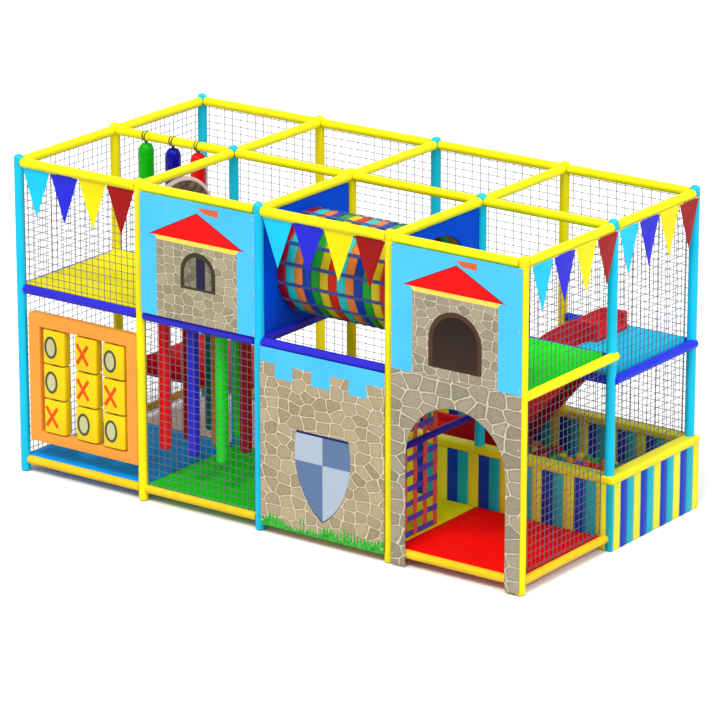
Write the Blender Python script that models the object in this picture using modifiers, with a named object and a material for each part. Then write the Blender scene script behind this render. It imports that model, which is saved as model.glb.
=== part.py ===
"""Indoor play maze: a two-level frame of padded posts with decks, panels, nets, slide and ball pit.

Metres, +Z up. X runs along the length, from left to right seen from the front, and Y runs from the
front row of posts to the back row. The origin is the centre of the foot of the middle post.
"""
import math

import bmesh
import bpy
from mathutils import Matrix, Vector

# Post grid: four bays along the length and two bays deep
BAY_WIDTHS = (1.200, 1.146, 1.218, 1.186)
BAY_DEPTHS = (1.190, 1.142)
ORIGIN_COLUMN = 2
ORIGIN_ROW = 1
PIT_COLUMN = 2

# Heights of the levels: rails above the floor, and what lies on or over each rail
BASE_RAIL_Z = 0.100
LOWER_STOREY = 1.420
UPPER_STOREY = 1.030
CAP_RISE = 0.062
DECK_RISE = 0.030
LOW_DECK_STEP = 0.170
LOW_DECK_RISE = 0.035
MAT_RISE = 0.025
PIT_WALL_TOP = 0.600
BALL_TOP = 0.280

# Tubes with their foam sleeves
POST_RADIUS = 0.039
RAIL_RADIUS = 0.0375
BASE_RAIL_RADIUS = 0.034
ROUND_SIDES = 16
SIDE_RAIL_OFFSET = 0.020
SIDE_RAIL_REACH = 0.030
CAP_DEPTH = 0.020

# Clearances between pieces
GAP = 0.0003
PANEL_GAP = 0.0005
CUT_MARGIN = 0.100

# Decks and mats
DECK_THICKNESS = 0.050
MAT_THICKNESS = 0.047
LOW_DECK_WIDTH = 0.635

# Front panels
PANEL_THICKNESS = 0.012
TOWER_PANEL_LEFT = 0.045
TOWER_PANEL_RIGHT = 0.0
TOWER_PANEL_OVER_RAIL = 0.0415
WALL_PANEL_LEFT = 0.042
WALL_PANEL_RIGHT = -0.021
WALL_PANEL_BOTTOM = 0.069
WALL_PANEL_UNDER_RAIL = 0.020
GATE_PANEL_LEFT = 0.047
GATE_PANEL_RIGHT = 0.017
GATE_PANEL_BOTTOM = 0.025
PANEL_UNDER_TOP_RAIL = 0.026
ARCH_RADIUS = 0.4525
ARCH_CROWN_UNDER_RAIL = 0.175
ARCH_STEPS = 20

# Crawl tunnel, its bulkheads and the inner arch
TUNNEL_RADIUS = 0.410
TUNNEL_BORE = 0.385
TUNNEL_GROOVE = 0.012
TUNNEL_OVER_RAIL = 0.500
TUNNEL_OFF_CENTRE = 0.017
TUNNEL_RINGS = 15
TUNNEL_SIDES = 20
BULKHEAD_THICKNESS = 0.020
INNER_ARCH_SIDE_SPACE = 0.145
INNER_ARCH_TO_POST = 0.006
INNER_ARCH_TOP_SPACE = 0.012
INNER_ARCH_BAND = 0.150
INNER_ARCH_THICKNESS = 0.030

# Slide
SLIDE_FROM_MIDDLE_ROW = 0.590
SLIDE_WIDTH = 0.430
SLIDE_CHEEK = 0.030
SLIDE_BED = 0.040
SLIDE_WALL = 0.125
SLIDE_LIP = 0.125
SLIDE_LEVEL = 0.160
SLIDE_FOOT_Z = 0.300
SLIDE_RUN_OUT = 0.140
SLIDE_TOE_FROM_POSTS = 0.114
SLIDE_CHEEK_DROP = 0.195
SLIDE_FLOOR_LENGTH = 0.620
SLIDE_STEPS = 12

# Ball pit wall, measured outwards and inwards from the post lines
PIT_WALL_LEFT = (0.055, 0.055)
PIT_WALL_RIGHT = (0.060, 0.050)
PIT_WALL_FRONT = (0.045, 0.055)
PIT_WALL_BACK = (0.060, 0.050)
COPING_HEIGHT = 0.100
COPING_LIP = 0.008
BALL_BED_GAP = 0.001

# Strap barrier under the crawl tunnel's right end
BARRIER_BEAM_Z = 0.865
BARRIER_BEAM_RADIUS = 0.032
BARRIER_STRAP = 0.045
BARRIER_THICKNESS = 0.008
BARRIER_ROWS = 11
BARRIER_COLUMNS = 4
BARRIER_OPENING = 0.570

# Step platform in the left back bay
STEP_TOP = 0.580
STEP_THICKNESS = 0.160
STEP_RAIL_Z = 0.500
STEP_FROM_MIDDLE_ROW = 0.230
STEP_TO_BACK_POSTS = 0.006
STEP_OVERHANG = 0.036

# Noughts-and-crosses board: blocks lie at shares of the opening's width
BOARD_LEFT = 0.075
BOARD_BOTTOM = 0.280
BOARD_UNDER_RAIL = 0.180
BOARD_FRONT = 0.020
BOARD_DEPTH = 0.080
BOARD_STILE_LEFT = 0.110
BOARD_STILE_RIGHT = 0.101
BOARD_FOOT_RAIL = 0.086
BOARD_HEAD_RAIL = 0.102
ROD_RADIUS = 0.010
ROD_SIDES = 12
ROD_SOCKET = 0.020
ROD_FROM_FRONT = 0.020
BLOCK_SHARES = (0.166, 0.533, 0.850)
BLOCK_SIDE_SPACE = 0.062
BLOCK_DEPTH = 0.100
BLOCK_ROUNDING = 0.025
BLOCK_SPACE = 0.009
BORE_CLEARANCE = 0.0006

# Punch bags
BAG_PLACES = (0.322, 0.595, 0.8465)
BAG_COLOURS = ("green", "blue", "red")
BAG_RADIUS = 0.063
BAG_TOP_DROP = 0.114
BAG_LENGTH = 0.700
BAG_STRAP_WIDTH = 0.030
BAG_STRAP_THICKNESS = 0.005
BAG_RING_CLEARANCE = 0.001
BAG_ROUNDING = 0.025
BAG_SIDES = 14

# Hanging foam poles
POLE_COLUMNS = (0.070, 0.350, 0.630)
POLE_ROWS = (0.200, 0.500, 0.780)
POLE_RADIUS = 0.048
POLE_BOTTOM = 0.380
POLE_STRAP_LENGTH = 0.070
POLE_STRAP_RADIUS = 0.008
POLE_ROUNDING = 0.030
POLE_SIDES = 12

# Nets
NET_THICKNESS = 0.005
NET_STRAND = 0.010
NET_FLOOR_GAP = 0.030
NET_TOP_REACH = 0.005
NET_CELL = 0.330

# Bunting
FLAG_LENGTH = 0.370
FLAGS_PER_BAY = 4
HEM_HEIGHT = 0.015
HEM_UNDER_RAIL = 0.038
BUNTING_THICKNESS = 0.003


def running_sum(steps, start_index):
    """Positions of the lines between the steps, with zero at the line start_index."""
    places = [0.0]
    for step in steps:
        places.append(places[-1] + step)
    return [place - places[start_index] for place in places]


COLUMNS = running_sum(BAY_WIDTHS, ORIGIN_COLUMN)
ROWS = running_sum(BAY_DEPTHS, ORIGIN_ROW)
FRONT, MIDDLE, BACK = ROWS
DECK_RAIL_Z = BASE_RAIL_Z + LOWER_STOREY
TOP_RAIL_Z = DECK_RAIL_Z + UPPER_STOREY
LOW_DECK_RAIL_Z = DECK_RAIL_Z - LOW_DECK_STEP
POST_CAP_TOP = TOP_RAIL_Z + CAP_RISE
DECK_TOP = DECK_RAIL_Z + DECK_RISE
LOW_DECK_TOP = LOW_DECK_RAIL_Z + LOW_DECK_RISE
MAT_TOP = BASE_RAIL_Z + MAT_RISE
PANEL_TOP = TOP_RAIL_Z - PANEL_UNDER_TOP_RAIL
POST_CLEAR = POST_RADIUS + GAP
RAIL_CLEAR = RAIL_RADIUS + GAP
FLAT_RATIO = math.cos(math.pi / ROUND_SIDES)
PANEL_BACK = FRONT - POST_RADIUS - PANEL_GAP
PANEL_MID = PANEL_BACK - PANEL_THICKNESS / 2
NET_OFFSET = POST_CLEAR + NET_THICKNESS / 2
NET_RIGHT_FACE = COLUMNS[4] - POST_CLEAR - NET_THICKNESS
TOP_RAIL_BOTTOM = TOP_RAIL_Z - RAIL_CLEAR
BASE_RAIL_TOP = BASE_RAIL_Z + BASE_RAIL_RADIUS + GAP

COLOURS = {
    "cyan": (0.03, 0.56, 0.86, 1.0),
    "yellow": (1.0, 0.90, 0.03, 1.0),
    "amber": (0.95, 0.60, 0.05, 1.0),
    "blue": (0.02, 0.04, 0.60, 1.0),
    "sky": (0.10, 0.60, 1.0, 1.0),
    "stone": (0.38, 0.30, 0.20, 1.0),
    "green": (0.02, 0.70, 0.03, 1.0),
    "light_blue": (0.04, 0.50, 0.86, 1.0),
    "royal_blue": (0.01, 0.22, 0.76, 1.0),
    "red": (0.80, 0.02, 0.02, 1.0),
    "dark_red": (0.35, 0.01, 0.01, 1.0),
    "orange": (1.0, 0.38, 0.06, 1.0),
    "teal": (0.01, 0.30, 0.30, 1.0),
    "purple": (0.05, 0.01, 0.45, 1.0),
    "net": (0.05, 0.05, 0.06, 1.0),
    "steel": (0.45, 0.46, 0.48, 1.0),
}


def clear_scene():
    """Remove every object the scene starts with."""
    for old in list(bpy.data.objects):
        bpy.data.objects.remove(old, do_unlink=True)


def new_collection(name):
    """A collection of this name in the scene."""
    group = bpy.data.collections.new(name)
    bpy.context.scene.collection.children.link(group)
    return group


clear_scene()
PARTS = new_collection("play_maze")
CUTTERS = new_collection("cutters")


def paint(obj, colour, roughness=0.5, metallic=0.0):
    """Give the object its own material in one of the named colours."""
    material = bpy.data.materials.new(obj.name)
    material.use_nodes = True
    shader = material.node_tree.nodes["Principled BSDF"]
    shader.inputs["Base Color"].default_value = COLOURS[colour]
    shader.inputs["Roughness"].default_value = roughness
    shader.inputs["Metallic"].default_value = metallic
    obj.data.materials.clear()
    obj.data.materials.append(material)


def mesh_object(name, shape, group=PARTS):
    """Turn a bmesh, already at its place in the world, into an object in the group."""
    mesh = bpy.data.meshes.new(name)
    shape.to_mesh(mesh)
    shape.free()
    obj = bpy.data.objects.new(name, mesh)
    group.objects.link(obj)
    return obj


def block(name, low, high, group=PARTS):
    """A box between two corners."""
    low = Vector(low)
    high = Vector(high)
    shape = bmesh.new()
    place = Matrix.Translation((low + high) / 2) @ Matrix.Diagonal((*(high - low), 1.0))
    bmesh.ops.create_cube(shape, size=1.0, matrix=place)
    return mesh_object(name, shape, group)


def tube(name, start, end, radius, group=PARTS, sides=ROUND_SIDES):
    """A round bar between two points, with two of its corners on the world's axes."""
    start = Vector(start)
    run = Vector(end) - start
    shape = bmesh.new()
    turn = Vector((0, 0, 1)).rotation_difference(run).to_matrix().to_4x4()
    place = Matrix.Translation(start + run / 2) @ turn
    bmesh.ops.create_cone(shape, cap_ends=True, segments=sides, radius1=radius, radius2=radius,
                          depth=run.length, matrix=place)
    return mesh_object(name, shape, group)


def stand_up(plane, middle):
    """The turn and shift that take a flat shape drawn on XY to its plane in the world.

    plane is XZ, YZ or XY, the world axes that the shape's two numbers run along, and middle is
    its place on the third axis.
    """
    rows = {
        "XZ": ((1, 0, 0, 0), (0, 0, -1, middle), (0, 1, 0, 0), (0, 0, 0, 1)),
        "YZ": ((0, 0, 1, middle), (1, 0, 0, 0), (0, 1, 0, 0), (0, 0, 0, 1)),
        "XY": ((1, 0, 0, 0), (0, 1, 0, 0), (0, 0, 1, middle), (0, 0, 0, 1)),
    }
    return Matrix(rows[plane])


def plate(name, outlines, middle, thickness, plane, group=PARTS):
    """A flat piece of even thickness. The first outline is its edge, and the others are holes."""
    curve = bpy.data.curves.new(name, "CURVE")
    curve.dimensions = "2D"
    curve.fill_mode = "BOTH"
    curve.extrude = thickness / 2
    for outline in outlines:
        spline = curve.splines.new("POLY")
        spline.points.add(len(outline) - 1)
        for point, (u, v) in zip(spline.points, outline):
            point.co = (u, v, 0.0, 1.0)
        spline.use_cyclic_u = True
    flat = bpy.data.objects.new(name + "_outline", curve)
    CUTTERS.objects.link(flat)
    view = bpy.context.evaluated_depsgraph_get()
    mesh = bpy.data.meshes.new_from_object(flat.evaluated_get(view))
    bpy.data.objects.remove(flat, do_unlink=True)
    shape = bmesh.new()
    shape.from_mesh(mesh)
    bpy.data.meshes.remove(mesh)
    bmesh.ops.remove_doubles(shape, verts=shape.verts, dist=1e-5)
    bmesh.ops.transform(shape, matrix=stand_up(plane, middle), verts=shape.verts)
    return mesh_object(name, shape, group)


def crossing_lines(low, high, count, strand, first):
    """The edges of the strands across a span, sorted, with the lines in first always kept."""
    pitch = (high - low - strand) / count
    lines = [low, high, *first]
    for step in range(count + 1):
        for line in (low + step * pitch, low + step * pitch + strand):
            if min(abs(line - other) for other in lines) > strand / 4:
                lines.append(line)
    return sorted(lines)


def on_strand(place, low, high, count, strand):
    """Whether a place across a span lies on one of its strands."""
    pitch = (high - low - strand) / count
    return (place - low) % pitch < strand


def lattice(name, span, counts, strand, middle, thickness, plane, notch=None):
    """A flat lattice of crossing strands of one width, between the two corners of span.

    counts holds the number of cells each way. A notch (edge, sill) leaves out the far lower
    corner, with a strand along its sides.
    """
    low, high = span
    edge, sill = notch if notch else high
    keep_u = (edge - strand, edge) if notch else ()
    keep_v = (sill, sill + strand) if notch else ()
    lines_u = crossing_lines(low[0], high[0], counts[0], strand, keep_u)
    lines_v = crossing_lines(low[1], high[1], counts[1], strand, keep_v)
    shape = bmesh.new()
    corners = [[shape.verts.new((u, v, 0.0)) for v in lines_v] for u in lines_u]
    for i, u in enumerate(lines_u[:-1]):
        for j, v in enumerate(lines_v[:-1]):
            mid_u = (u + lines_u[i + 1]) / 2
            mid_v = (v + lines_v[j + 1]) / 2
            strand_here = (on_strand(mid_u, low[0], high[0], counts[0], strand)
                           or on_strand(mid_v, low[1], high[1], counts[1], strand))
            if notch and mid_u > edge - strand and mid_v < sill + strand:
                strand_here = mid_u < edge or mid_v > sill
            if strand_here:
                shape.faces.new((corners[i][j], corners[i + 1][j], corners[i + 1][j + 1],
                                 corners[i][j + 1]))
    loose = [corner for corner in shape.verts if not corner.link_faces]
    bmesh.ops.delete(shape, geom=loose, context="VERTS")
    bmesh.ops.transform(shape, matrix=stand_up(plane, middle), verts=shape.verts)
    obj = mesh_object(name, shape)
    depth = obj.modifiers.new("thickness", "SOLIDIFY")
    depth.thickness = thickness
    depth.offset = 0.0
    return obj


def turned(name, profile, pivot, sides, group=PARTS, along_x=False):
    """A turned shape: the profile, (radius, height) pairs, spun round the pivot's upright axis.

    With along_x the axis lies along X instead, and heights run towards +X.
    """
    shape = bmesh.new()
    points = [shape.verts.new((radius, 0.0, height)) for radius, height in profile]
    for first, second in zip(points, points[1:]):
        shape.edges.new((first, second))
    if profile[0][0] > 0.0:
        shape.edges.new((points[-1], points[0]))
    obj = mesh_object(name, shape, group)
    obj.location = pivot
    if along_x:
        obj.rotation_euler = (0.0, math.pi / 2, 0.0)
    spin = obj.modifiers.new("spin", "SCREW")
    spin.steps = sides
    spin.render_steps = sides
    spin.use_merge_vertices = True
    spin.merge_threshold = 0.0001
    return obj


def rectangle(low, high):
    """The corners of an upright rectangle."""
    return [(low[0], low[1]), (high[0], low[1]), (high[0], high[1]), (low[0], high[1])]


def circle(centre, radius, sides):
    """The corners of a regular polygon with its first corner on the first axis."""
    corners = []
    for step in range(sides):
        angle = 2 * math.pi * step / sides
        corners.append((centre[0] + radius * math.cos(angle), centre[1] + radius * math.sin(angle)))
    return corners


def combine(obj, others, operation):
    """Add others to obj, or cut them out of it, with one Boolean for each."""
    for other in others:
        modifier = obj.modifiers.new(operation.lower() + "_" + other.name, "BOOLEAN")
        modifier.operation = operation
        modifier.solver = "EXACT"
        modifier.object = other
    return obj


def as_cutter(obj):
    """Hide a guide shape from the render and draw it as wires."""
    obj.hide_render = True
    obj.display_type = "WIRE"
    return obj


def fuse(obj, others):
    """Join other shapes to obj as one body."""
    return combine(obj, [as_cutter(other) for other in others], "UNION")


def cut(obj, others):
    """Cut other shapes out of obj."""
    return combine(obj, [as_cutter(other) for other in others], "DIFFERENCE")


def smooth(obj):
    """Shade the round sides smooth and keep the hard edges."""
    obj.data.shade_smooth()
    obj.data.set_sharp_from_angle(angle=math.radians(40))
    return obj


def post_cutters():
    """One full-height cutter for each post, a clearance wider than the post on every flat."""
    cutters = {}
    radius = POST_RADIUS + GAP / FLAT_RATIO
    for column, x in enumerate(COLUMNS):
        for row, y in enumerate(ROWS):
            name = f"post_space_{column + 1}{row + 1}"
            low = (x, y, -CUT_MARGIN)
            high = (x, y, POST_CAP_TOP)
            cutters[column, row] = as_cutter(tube(name, low, high, radius, CUTTERS))
    return cutters


POST_SPACES = post_cutters()


def clear_posts(obj, columns, rows):
    """Cut the spaces of the posts in these columns and rows out of obj."""
    return cut(obj, [POST_SPACES[column, row] for column in columns for row in rows])


def rail_x(name, y, z, radius, first, last):
    """A rail along X between two posts of one row, cut square where it meets them."""
    return tube(name, (COLUMNS[first] + POST_CLEAR, y, z), (COLUMNS[last] - POST_CLEAR, y, z),
                radius, CUTTERS)


def rail_y(name, x, z, radius, first, last):
    """A rail along Y between two posts of one column, cut square where it meets them."""
    return tube(name, (x, ROWS[first] + POST_CLEAR, z), (x, ROWS[last] - POST_CLEAR, z),
                radius, CUTTERS)


def pit_box(name, low_z, high_z, lip, group):
    """The outside of the pit wall between two heights, grown sideways by lip."""
    low = (COLUMNS[PIT_COLUMN] - PIT_WALL_LEFT[0] - lip, MIDDLE - PIT_WALL_FRONT[0] - lip, low_z)
    high = (COLUMNS[4] + PIT_WALL_RIGHT[0] + lip, BACK + PIT_WALL_BACK[0] + lip, high_z)
    return block(name, low, high, group)


def pit_inside(name, low_z, high_z, inset, group):
    """The space inside the pit wall between two heights, shrunk sideways by inset."""
    low = (COLUMNS[PIT_COLUMN] + PIT_WALL_LEFT[1] + inset, MIDDLE + PIT_WALL_FRONT[1] + inset, low_z)
    high = (COLUMNS[4] - PIT_WALL_RIGHT[1] - inset, BACK - PIT_WALL_BACK[1] - inset, high_z)
    return block(name, low, high, group)


# Portal frames: three posts and the rails that tie them front to back
def make_frame(column):
    """A portal frame, half-lapped under the three long top rails."""
    x = COLUMNS[column]
    name = f"frame_{column + 1}"
    end_inset = POST_RADIUS / 8
    frame = tube(name, (x, FRONT + end_inset, TOP_RAIL_Z), (x, BACK - end_inset, TOP_RAIL_Z),
                 RAIL_RADIUS)
    pieces = []
    laps = []
    for row, y in enumerate(ROWS):
        top = (x, y, TOP_RAIL_Z + RAIL_RADIUS / 2)
        pieces.append(tube(f"{name}_post_{row + 1}", (x, y, 0.0), top, POST_RADIUS, CUTTERS))
        low = (x - 2 * POST_RADIUS, y - POST_CLEAR, TOP_RAIL_Z - GAP / 2)
        high = (x + 2 * POST_RADIUS, y + POST_CLEAR, POST_CAP_TOP)
        laps.append(block(f"{name}_lap_{row + 1}", low, high, CUTTERS))
    pieces += side_rails(name, column)
    fuse(frame, pieces)
    cut(frame, laps)
    smooth(frame)
    paint(frame, "cyan" if column % 2 == 0 else "yellow")
    return frame


def side_rails(name, column):
    """The base rails and deck rails that lie in the plane of an end frame."""
    x = COLUMNS[column]
    rails = []
    if column == 0:
        rails.append(tube(name + "_base", (x, FRONT, BASE_RAIL_Z), (x, BACK, BASE_RAIL_Z),
                          BASE_RAIL_RADIUS, CUTTERS))
    if column == len(COLUMNS) - 1:
        outer = x + SIDE_RAIL_OFFSET
        rails.append(tube(name + "_base", (x, FRONT, BASE_RAIL_Z),
                          (x, MIDDLE - PIT_WALL_FRONT[0] - GAP, BASE_RAIL_Z),
                          BASE_RAIL_RADIUS, CUTTERS))
        rails.append(tube(name + "_deck", (outer, FRONT, DECK_RAIL_Z + SIDE_RAIL_OFFSET),
                          (outer, MIDDLE + SIDE_RAIL_REACH, DECK_RAIL_Z + SIDE_RAIL_OFFSET),
                          RAIL_RADIUS, CUTTERS))
        rails.append(tube(name + "_low_deck", (outer, MIDDLE, LOW_DECK_RAIL_Z),
                          (outer, BACK + SIDE_RAIL_REACH / 2, LOW_DECK_RAIL_Z),
                          RAIL_RADIUS, CUTTERS))
    return rails


for frame_column in range(len(COLUMNS)):
    make_frame(frame_column)


# Long top rails with the caps that close the posts
def make_top_rail(name, row):
    """A top rail along the whole length, half-lapped over the frames."""
    y = ROWS[row]
    rail = tube(name, (COLUMNS[0], y, TOP_RAIL_Z), (COLUMNS[-1], y, TOP_RAIL_Z), RAIL_RADIUS)
    caps = []
    laps = []
    for column, x in enumerate(COLUMNS):
        caps.append(tube(f"{name}_cap_{column + 1}", (x, y, TOP_RAIL_Z - CAP_DEPTH),
                         (x, y, POST_CAP_TOP), POST_RADIUS, CUTTERS))
        low = (x - POST_CLEAR, y - 2 * POST_RADIUS, TOP_RAIL_Z - 2 * RAIL_RADIUS)
        high = (x + POST_CLEAR, y + 2 * POST_RADIUS, TOP_RAIL_Z + GAP / 2)
        laps.append(block(f"{name}_lap_{column + 1}", low, high, CUTTERS))
    fuse(rail, caps)
    cut(rail, laps)
    smooth(rail)
    paint(rail, "yellow")
    return rail


for rail_name, rail_row in (("top_rail_front", 0), ("top_rail_middle", 1), ("top_rail_back", 2)):
    make_top_rail(rail_name, rail_row)


# Decks: plywood in vinyl, with padded rails along their open edges
def make_walkway():
    """The yellow upper deck over the first two front bays."""
    deck = block("deck_walkway", (COLUMNS[0], FRONT, DECK_TOP - DECK_THICKNESS),
                 (COLUMNS[2] - RAIL_CLEAR, MIDDLE, DECK_TOP))
    rails = [rail_x("walkway_front_rail", FRONT, DECK_RAIL_Z, RAIL_RADIUS, 0, 2),
             rail_x("walkway_rear_rail", MIDDLE, DECK_RAIL_Z, RAIL_RADIUS, 0, 2),
             rail_y("walkway_side_rail", COLUMNS[0], DECK_RAIL_Z, RAIL_RADIUS, 0, 1)]
    fuse(deck, rails)
    clear_posts(deck, (0, 1, 2), (0, 1))
    paint(deck, "yellow")


def make_green_deck():
    """The green upper deck behind the gate panel."""
    deck = block("deck_green", (COLUMNS[3] + RAIL_CLEAR, FRONT, DECK_TOP - DECK_THICKNESS),
                 (NET_RIGHT_FACE - GAP, MIDDLE, DECK_TOP))
    fuse(deck, [rail_x("green_front_rail", FRONT, DECK_RAIL_Z, RAIL_RADIUS, 3, 4),
                rail_x("green_rear_rail", MIDDLE, DECK_RAIL_Z, RAIL_RADIUS, 3, 4)])
    clear_posts(deck, (3, 4), (0, 1))
    paint(deck, "green")


def make_slide_deck():
    """The lower light blue deck at the slide's head, hung between two rails."""
    deck = block("deck_slide", (COLUMNS[4] - LOW_DECK_WIDTH, MIDDLE, LOW_DECK_TOP - DECK_THICKNESS),
                 (NET_RIGHT_FACE - GAP, BACK, LOW_DECK_TOP))
    fuse(deck, [rail_x("low_front_rail", MIDDLE, LOW_DECK_RAIL_Z, RAIL_RADIUS, 3, 4),
                rail_x("low_back_rail", BACK, LOW_DECK_RAIL_Z, RAIL_RADIUS, 3, 4)])
    clear_posts(deck, (3, 4), (1, 2))
    paint(deck, "light_blue")


make_walkway()
make_green_deck()
make_slide_deck()


# Floor mats: each lies on its base rails, off the floor
def make_mat(bay, name, colour):
    """A floor mat of one front bay, with its front base rail and, over open floor, a rear one."""
    left = COLUMNS[bay] + (BASE_RAIL_RADIUS + GAP if bay == 0 else GAP)
    right = COLUMNS[bay + 1] - (BASE_RAIL_RADIUS + GAP if bay == 3 else GAP)
    pit_side = bay >= PIT_COLUMN
    rear = MIDDLE - PIT_WALL_FRONT[0] - GAP if pit_side else MIDDLE
    mat = block(name, (left, FRONT, MAT_TOP - MAT_THICKNESS), (right, rear, MAT_TOP))
    rails = [rail_x(name + "_front_rail", FRONT, BASE_RAIL_Z, BASE_RAIL_RADIUS, bay, bay + 1)]
    if not pit_side:
        rails.append(rail_x(name + "_rear_rail", MIDDLE, BASE_RAIL_Z, BASE_RAIL_RADIUS,
                            bay, bay + 1))
    fuse(mat, rails)
    if bay + 1 == PIT_COLUMN:
        cut(mat, [pit_box("pit_wall_space", -CUT_MARGIN, PIT_WALL_TOP, GAP, CUTTERS)])
    clear_posts(mat, (bay, bay + 1), (0, 1))
    paint(mat, colour, 0.35)


make_mat(0, "mat_blue", "royal_blue")
make_mat(1, "mat_green", "green")
make_mat(2, "mat_yellow", "yellow")
make_mat(3, "mat_red", "red")


# Printed front panels, lapped over the front of the posts
def make_tower_panel():
    """The upper panel of the second bay."""
    low = (COLUMNS[1] + TOWER_PANEL_LEFT, DECK_RAIL_Z + TOWER_PANEL_OVER_RAIL)
    high = (COLUMNS[2] + TOWER_PANEL_RIGHT, PANEL_TOP)
    panel = plate("tower_panel", [rectangle(low, high)], PANEL_MID, PANEL_THICKNESS, "XZ")
    paint(panel, "sky", 0.4)


def make_wall_panel():
    """The lower panel of the third bay, sewn round the padded rail at its top."""
    low = (COLUMNS[2] + WALL_PANEL_LEFT, WALL_PANEL_BOTTOM)
    top = DECK_RAIL_Z - WALL_PANEL_UNDER_RAIL
    high = (COLUMNS[3] + WALL_PANEL_RIGHT, top)
    panel = plate("wall_panel", [rectangle(low, high)], PANEL_MID, PANEL_THICKNESS, "XZ")
    sleeve_low = (COLUMNS[2] + 2 * POST_RADIUS, PANEL_MID, DECK_RAIL_Z - RAIL_RADIUS)
    sleeve_high = (COLUMNS[3] - 2 * POST_RADIUS, FRONT, top - PANEL_THICKNESS / 3)
    fuse(panel, [rail_x("wall_panel_rail", FRONT, DECK_RAIL_Z, RAIL_RADIUS, 2, 3),
                 block("wall_panel_sleeve", sleeve_low, sleeve_high, CUTTERS)])
    paint(panel, "stone", 0.4)


def make_gate_panel():
    """The full-height panel of the fourth bay, with an open arch down to its foot."""
    left = COLUMNS[3] + GATE_PANEL_LEFT
    right = COLUMNS[4] + GATE_PANEL_RIGHT
    centre = (left + right) / 2
    spring = DECK_RAIL_Z - ARCH_CROWN_UNDER_RAIL - ARCH_RADIUS
    outline = [(left, GATE_PANEL_BOTTOM), (centre - ARCH_RADIUS, GATE_PANEL_BOTTOM)]
    for step in range(ARCH_STEPS + 1):
        angle = math.pi * (1 - step / ARCH_STEPS)
        outline.append((centre + ARCH_RADIUS * math.cos(angle),
                        spring + ARCH_RADIUS * math.sin(angle)))
    outline += [(centre + ARCH_RADIUS, GATE_PANEL_BOTTOM), (right, GATE_PANEL_BOTTOM),
                (right, PANEL_TOP), (left, PANEL_TOP)]
    panel = plate("gate_panel", [outline], PANEL_MID, PANEL_THICKNESS, "XZ")
    paint(panel, "stone", 0.4)


make_tower_panel()
make_wall_panel()
make_gate_panel()


# Crawl tunnel between two bulkheads, and the inner arch
TUNNEL_Y = (FRONT + MIDDLE) / 2 + TUNNEL_OFF_CENTRE
TUNNEL_Z = DECK_RAIL_Z + TUNNEL_OVER_RAIL


def make_bulkhead(name, column):
    """A vinyl wall across the front bay with a round crawl hole and a padded rail at its foot."""
    x = COLUMNS[column]
    low = (FRONT + POST_CLEAR, DECK_RAIL_Z)
    high = (MIDDLE - POST_CLEAR, TOP_RAIL_BOTTOM)
    hole = circle((TUNNEL_Y, TUNNEL_Z), TUNNEL_BORE, TUNNEL_SIDES)
    wall = plate(name, [rectangle(low, high), hole], x, BULKHEAD_THICKNESS, "YZ")
    fuse(wall, [rail_y(name + "_rail", x, DECK_RAIL_Z, RAIL_RADIUS, 0, 1)])
    paint(wall, "blue")


def make_tunnel():
    """The crawl tunnel: padded rings in a row, with narrow grooves between them."""
    face = BULKHEAD_THICKNESS / 2 + GAP
    start = COLUMNS[2] + face
    length = COLUMNS[3] - face - start
    pitch = length / TUNNEL_RINGS
    groove = pitch / 6
    profile = [(TUNNEL_BORE, 0.0)]
    for ring in range(TUNNEL_RINGS):
        low = ring * pitch
        profile.append((TUNNEL_RADIUS - TUNNEL_GROOVE, low))
        profile.append((TUNNEL_RADIUS, low + groove))
        profile.append((TUNNEL_RADIUS, low + pitch - groove))
    profile.append((TUNNEL_RADIUS - TUNNEL_GROOVE, length))
    profile.append((TUNNEL_BORE, length))
    profile.reverse()
    tunnel = turned("crawl_tunnel", profile, (start, TUNNEL_Y, TUNNEL_Z), TUNNEL_SIDES,
                    along_x=True)
    smooth(tunnel)
    paint(tunnel, "green")


def make_inner_arch():
    """A padded partition with a round top and a crawl hole, standing on the walkway."""
    radius = (MIDDLE - FRONT) / 2 - INNER_ARCH_SIDE_SPACE
    centre = (FRONT + POST_CLEAR + INNER_ARCH_TO_POST + radius,
              TOP_RAIL_BOTTOM - INNER_ARCH_TOP_SPACE - radius)
    foot = DECK_TOP + GAP
    outline = [(centre[0] - radius, foot), (centre[0] + radius, foot)]
    for step in range(ARCH_STEPS + 1):
        angle = math.pi * step / ARCH_STEPS
        outline.append((centre[0] + radius * math.cos(angle), centre[1] + radius * math.sin(angle)))
    hole = circle((centre[0], TUNNEL_Z), radius - INNER_ARCH_BAND, TUNNEL_SIDES)
    arch = plate("inner_arch", [outline, hole], COLUMNS[1], INNER_ARCH_THICKNESS, "YZ")
    paint(arch, "stone")


make_bulkhead("tunnel_bulkhead_left", 2)
make_bulkhead("tunnel_bulkhead_right", 3)
make_tunnel()
make_inner_arch()


# Slide: a padded bed between two deep cheeks, hooked over the low deck and standing in the pit
SLIDE_Y = MIDDLE + SLIDE_FROM_MIDDLE_ROW
SLIDE_EDGE = COLUMNS[4] - LOW_DECK_WIDTH
SLIDE_HEAD = SLIDE_EDGE + SLIDE_LIP
SLIDE_START = SLIDE_HEAD - SLIDE_LEVEL
SLIDE_TOE = COLUMNS[PIT_COLUMN] + SLIDE_TOE_FROM_POSTS
SLIDE_RUN = SLIDE_START - SLIDE_TOE - SLIDE_RUN_OUT
SLIDE_BED_TOP = LOW_DECK_TOP + GAP + SLIDE_BED


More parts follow.
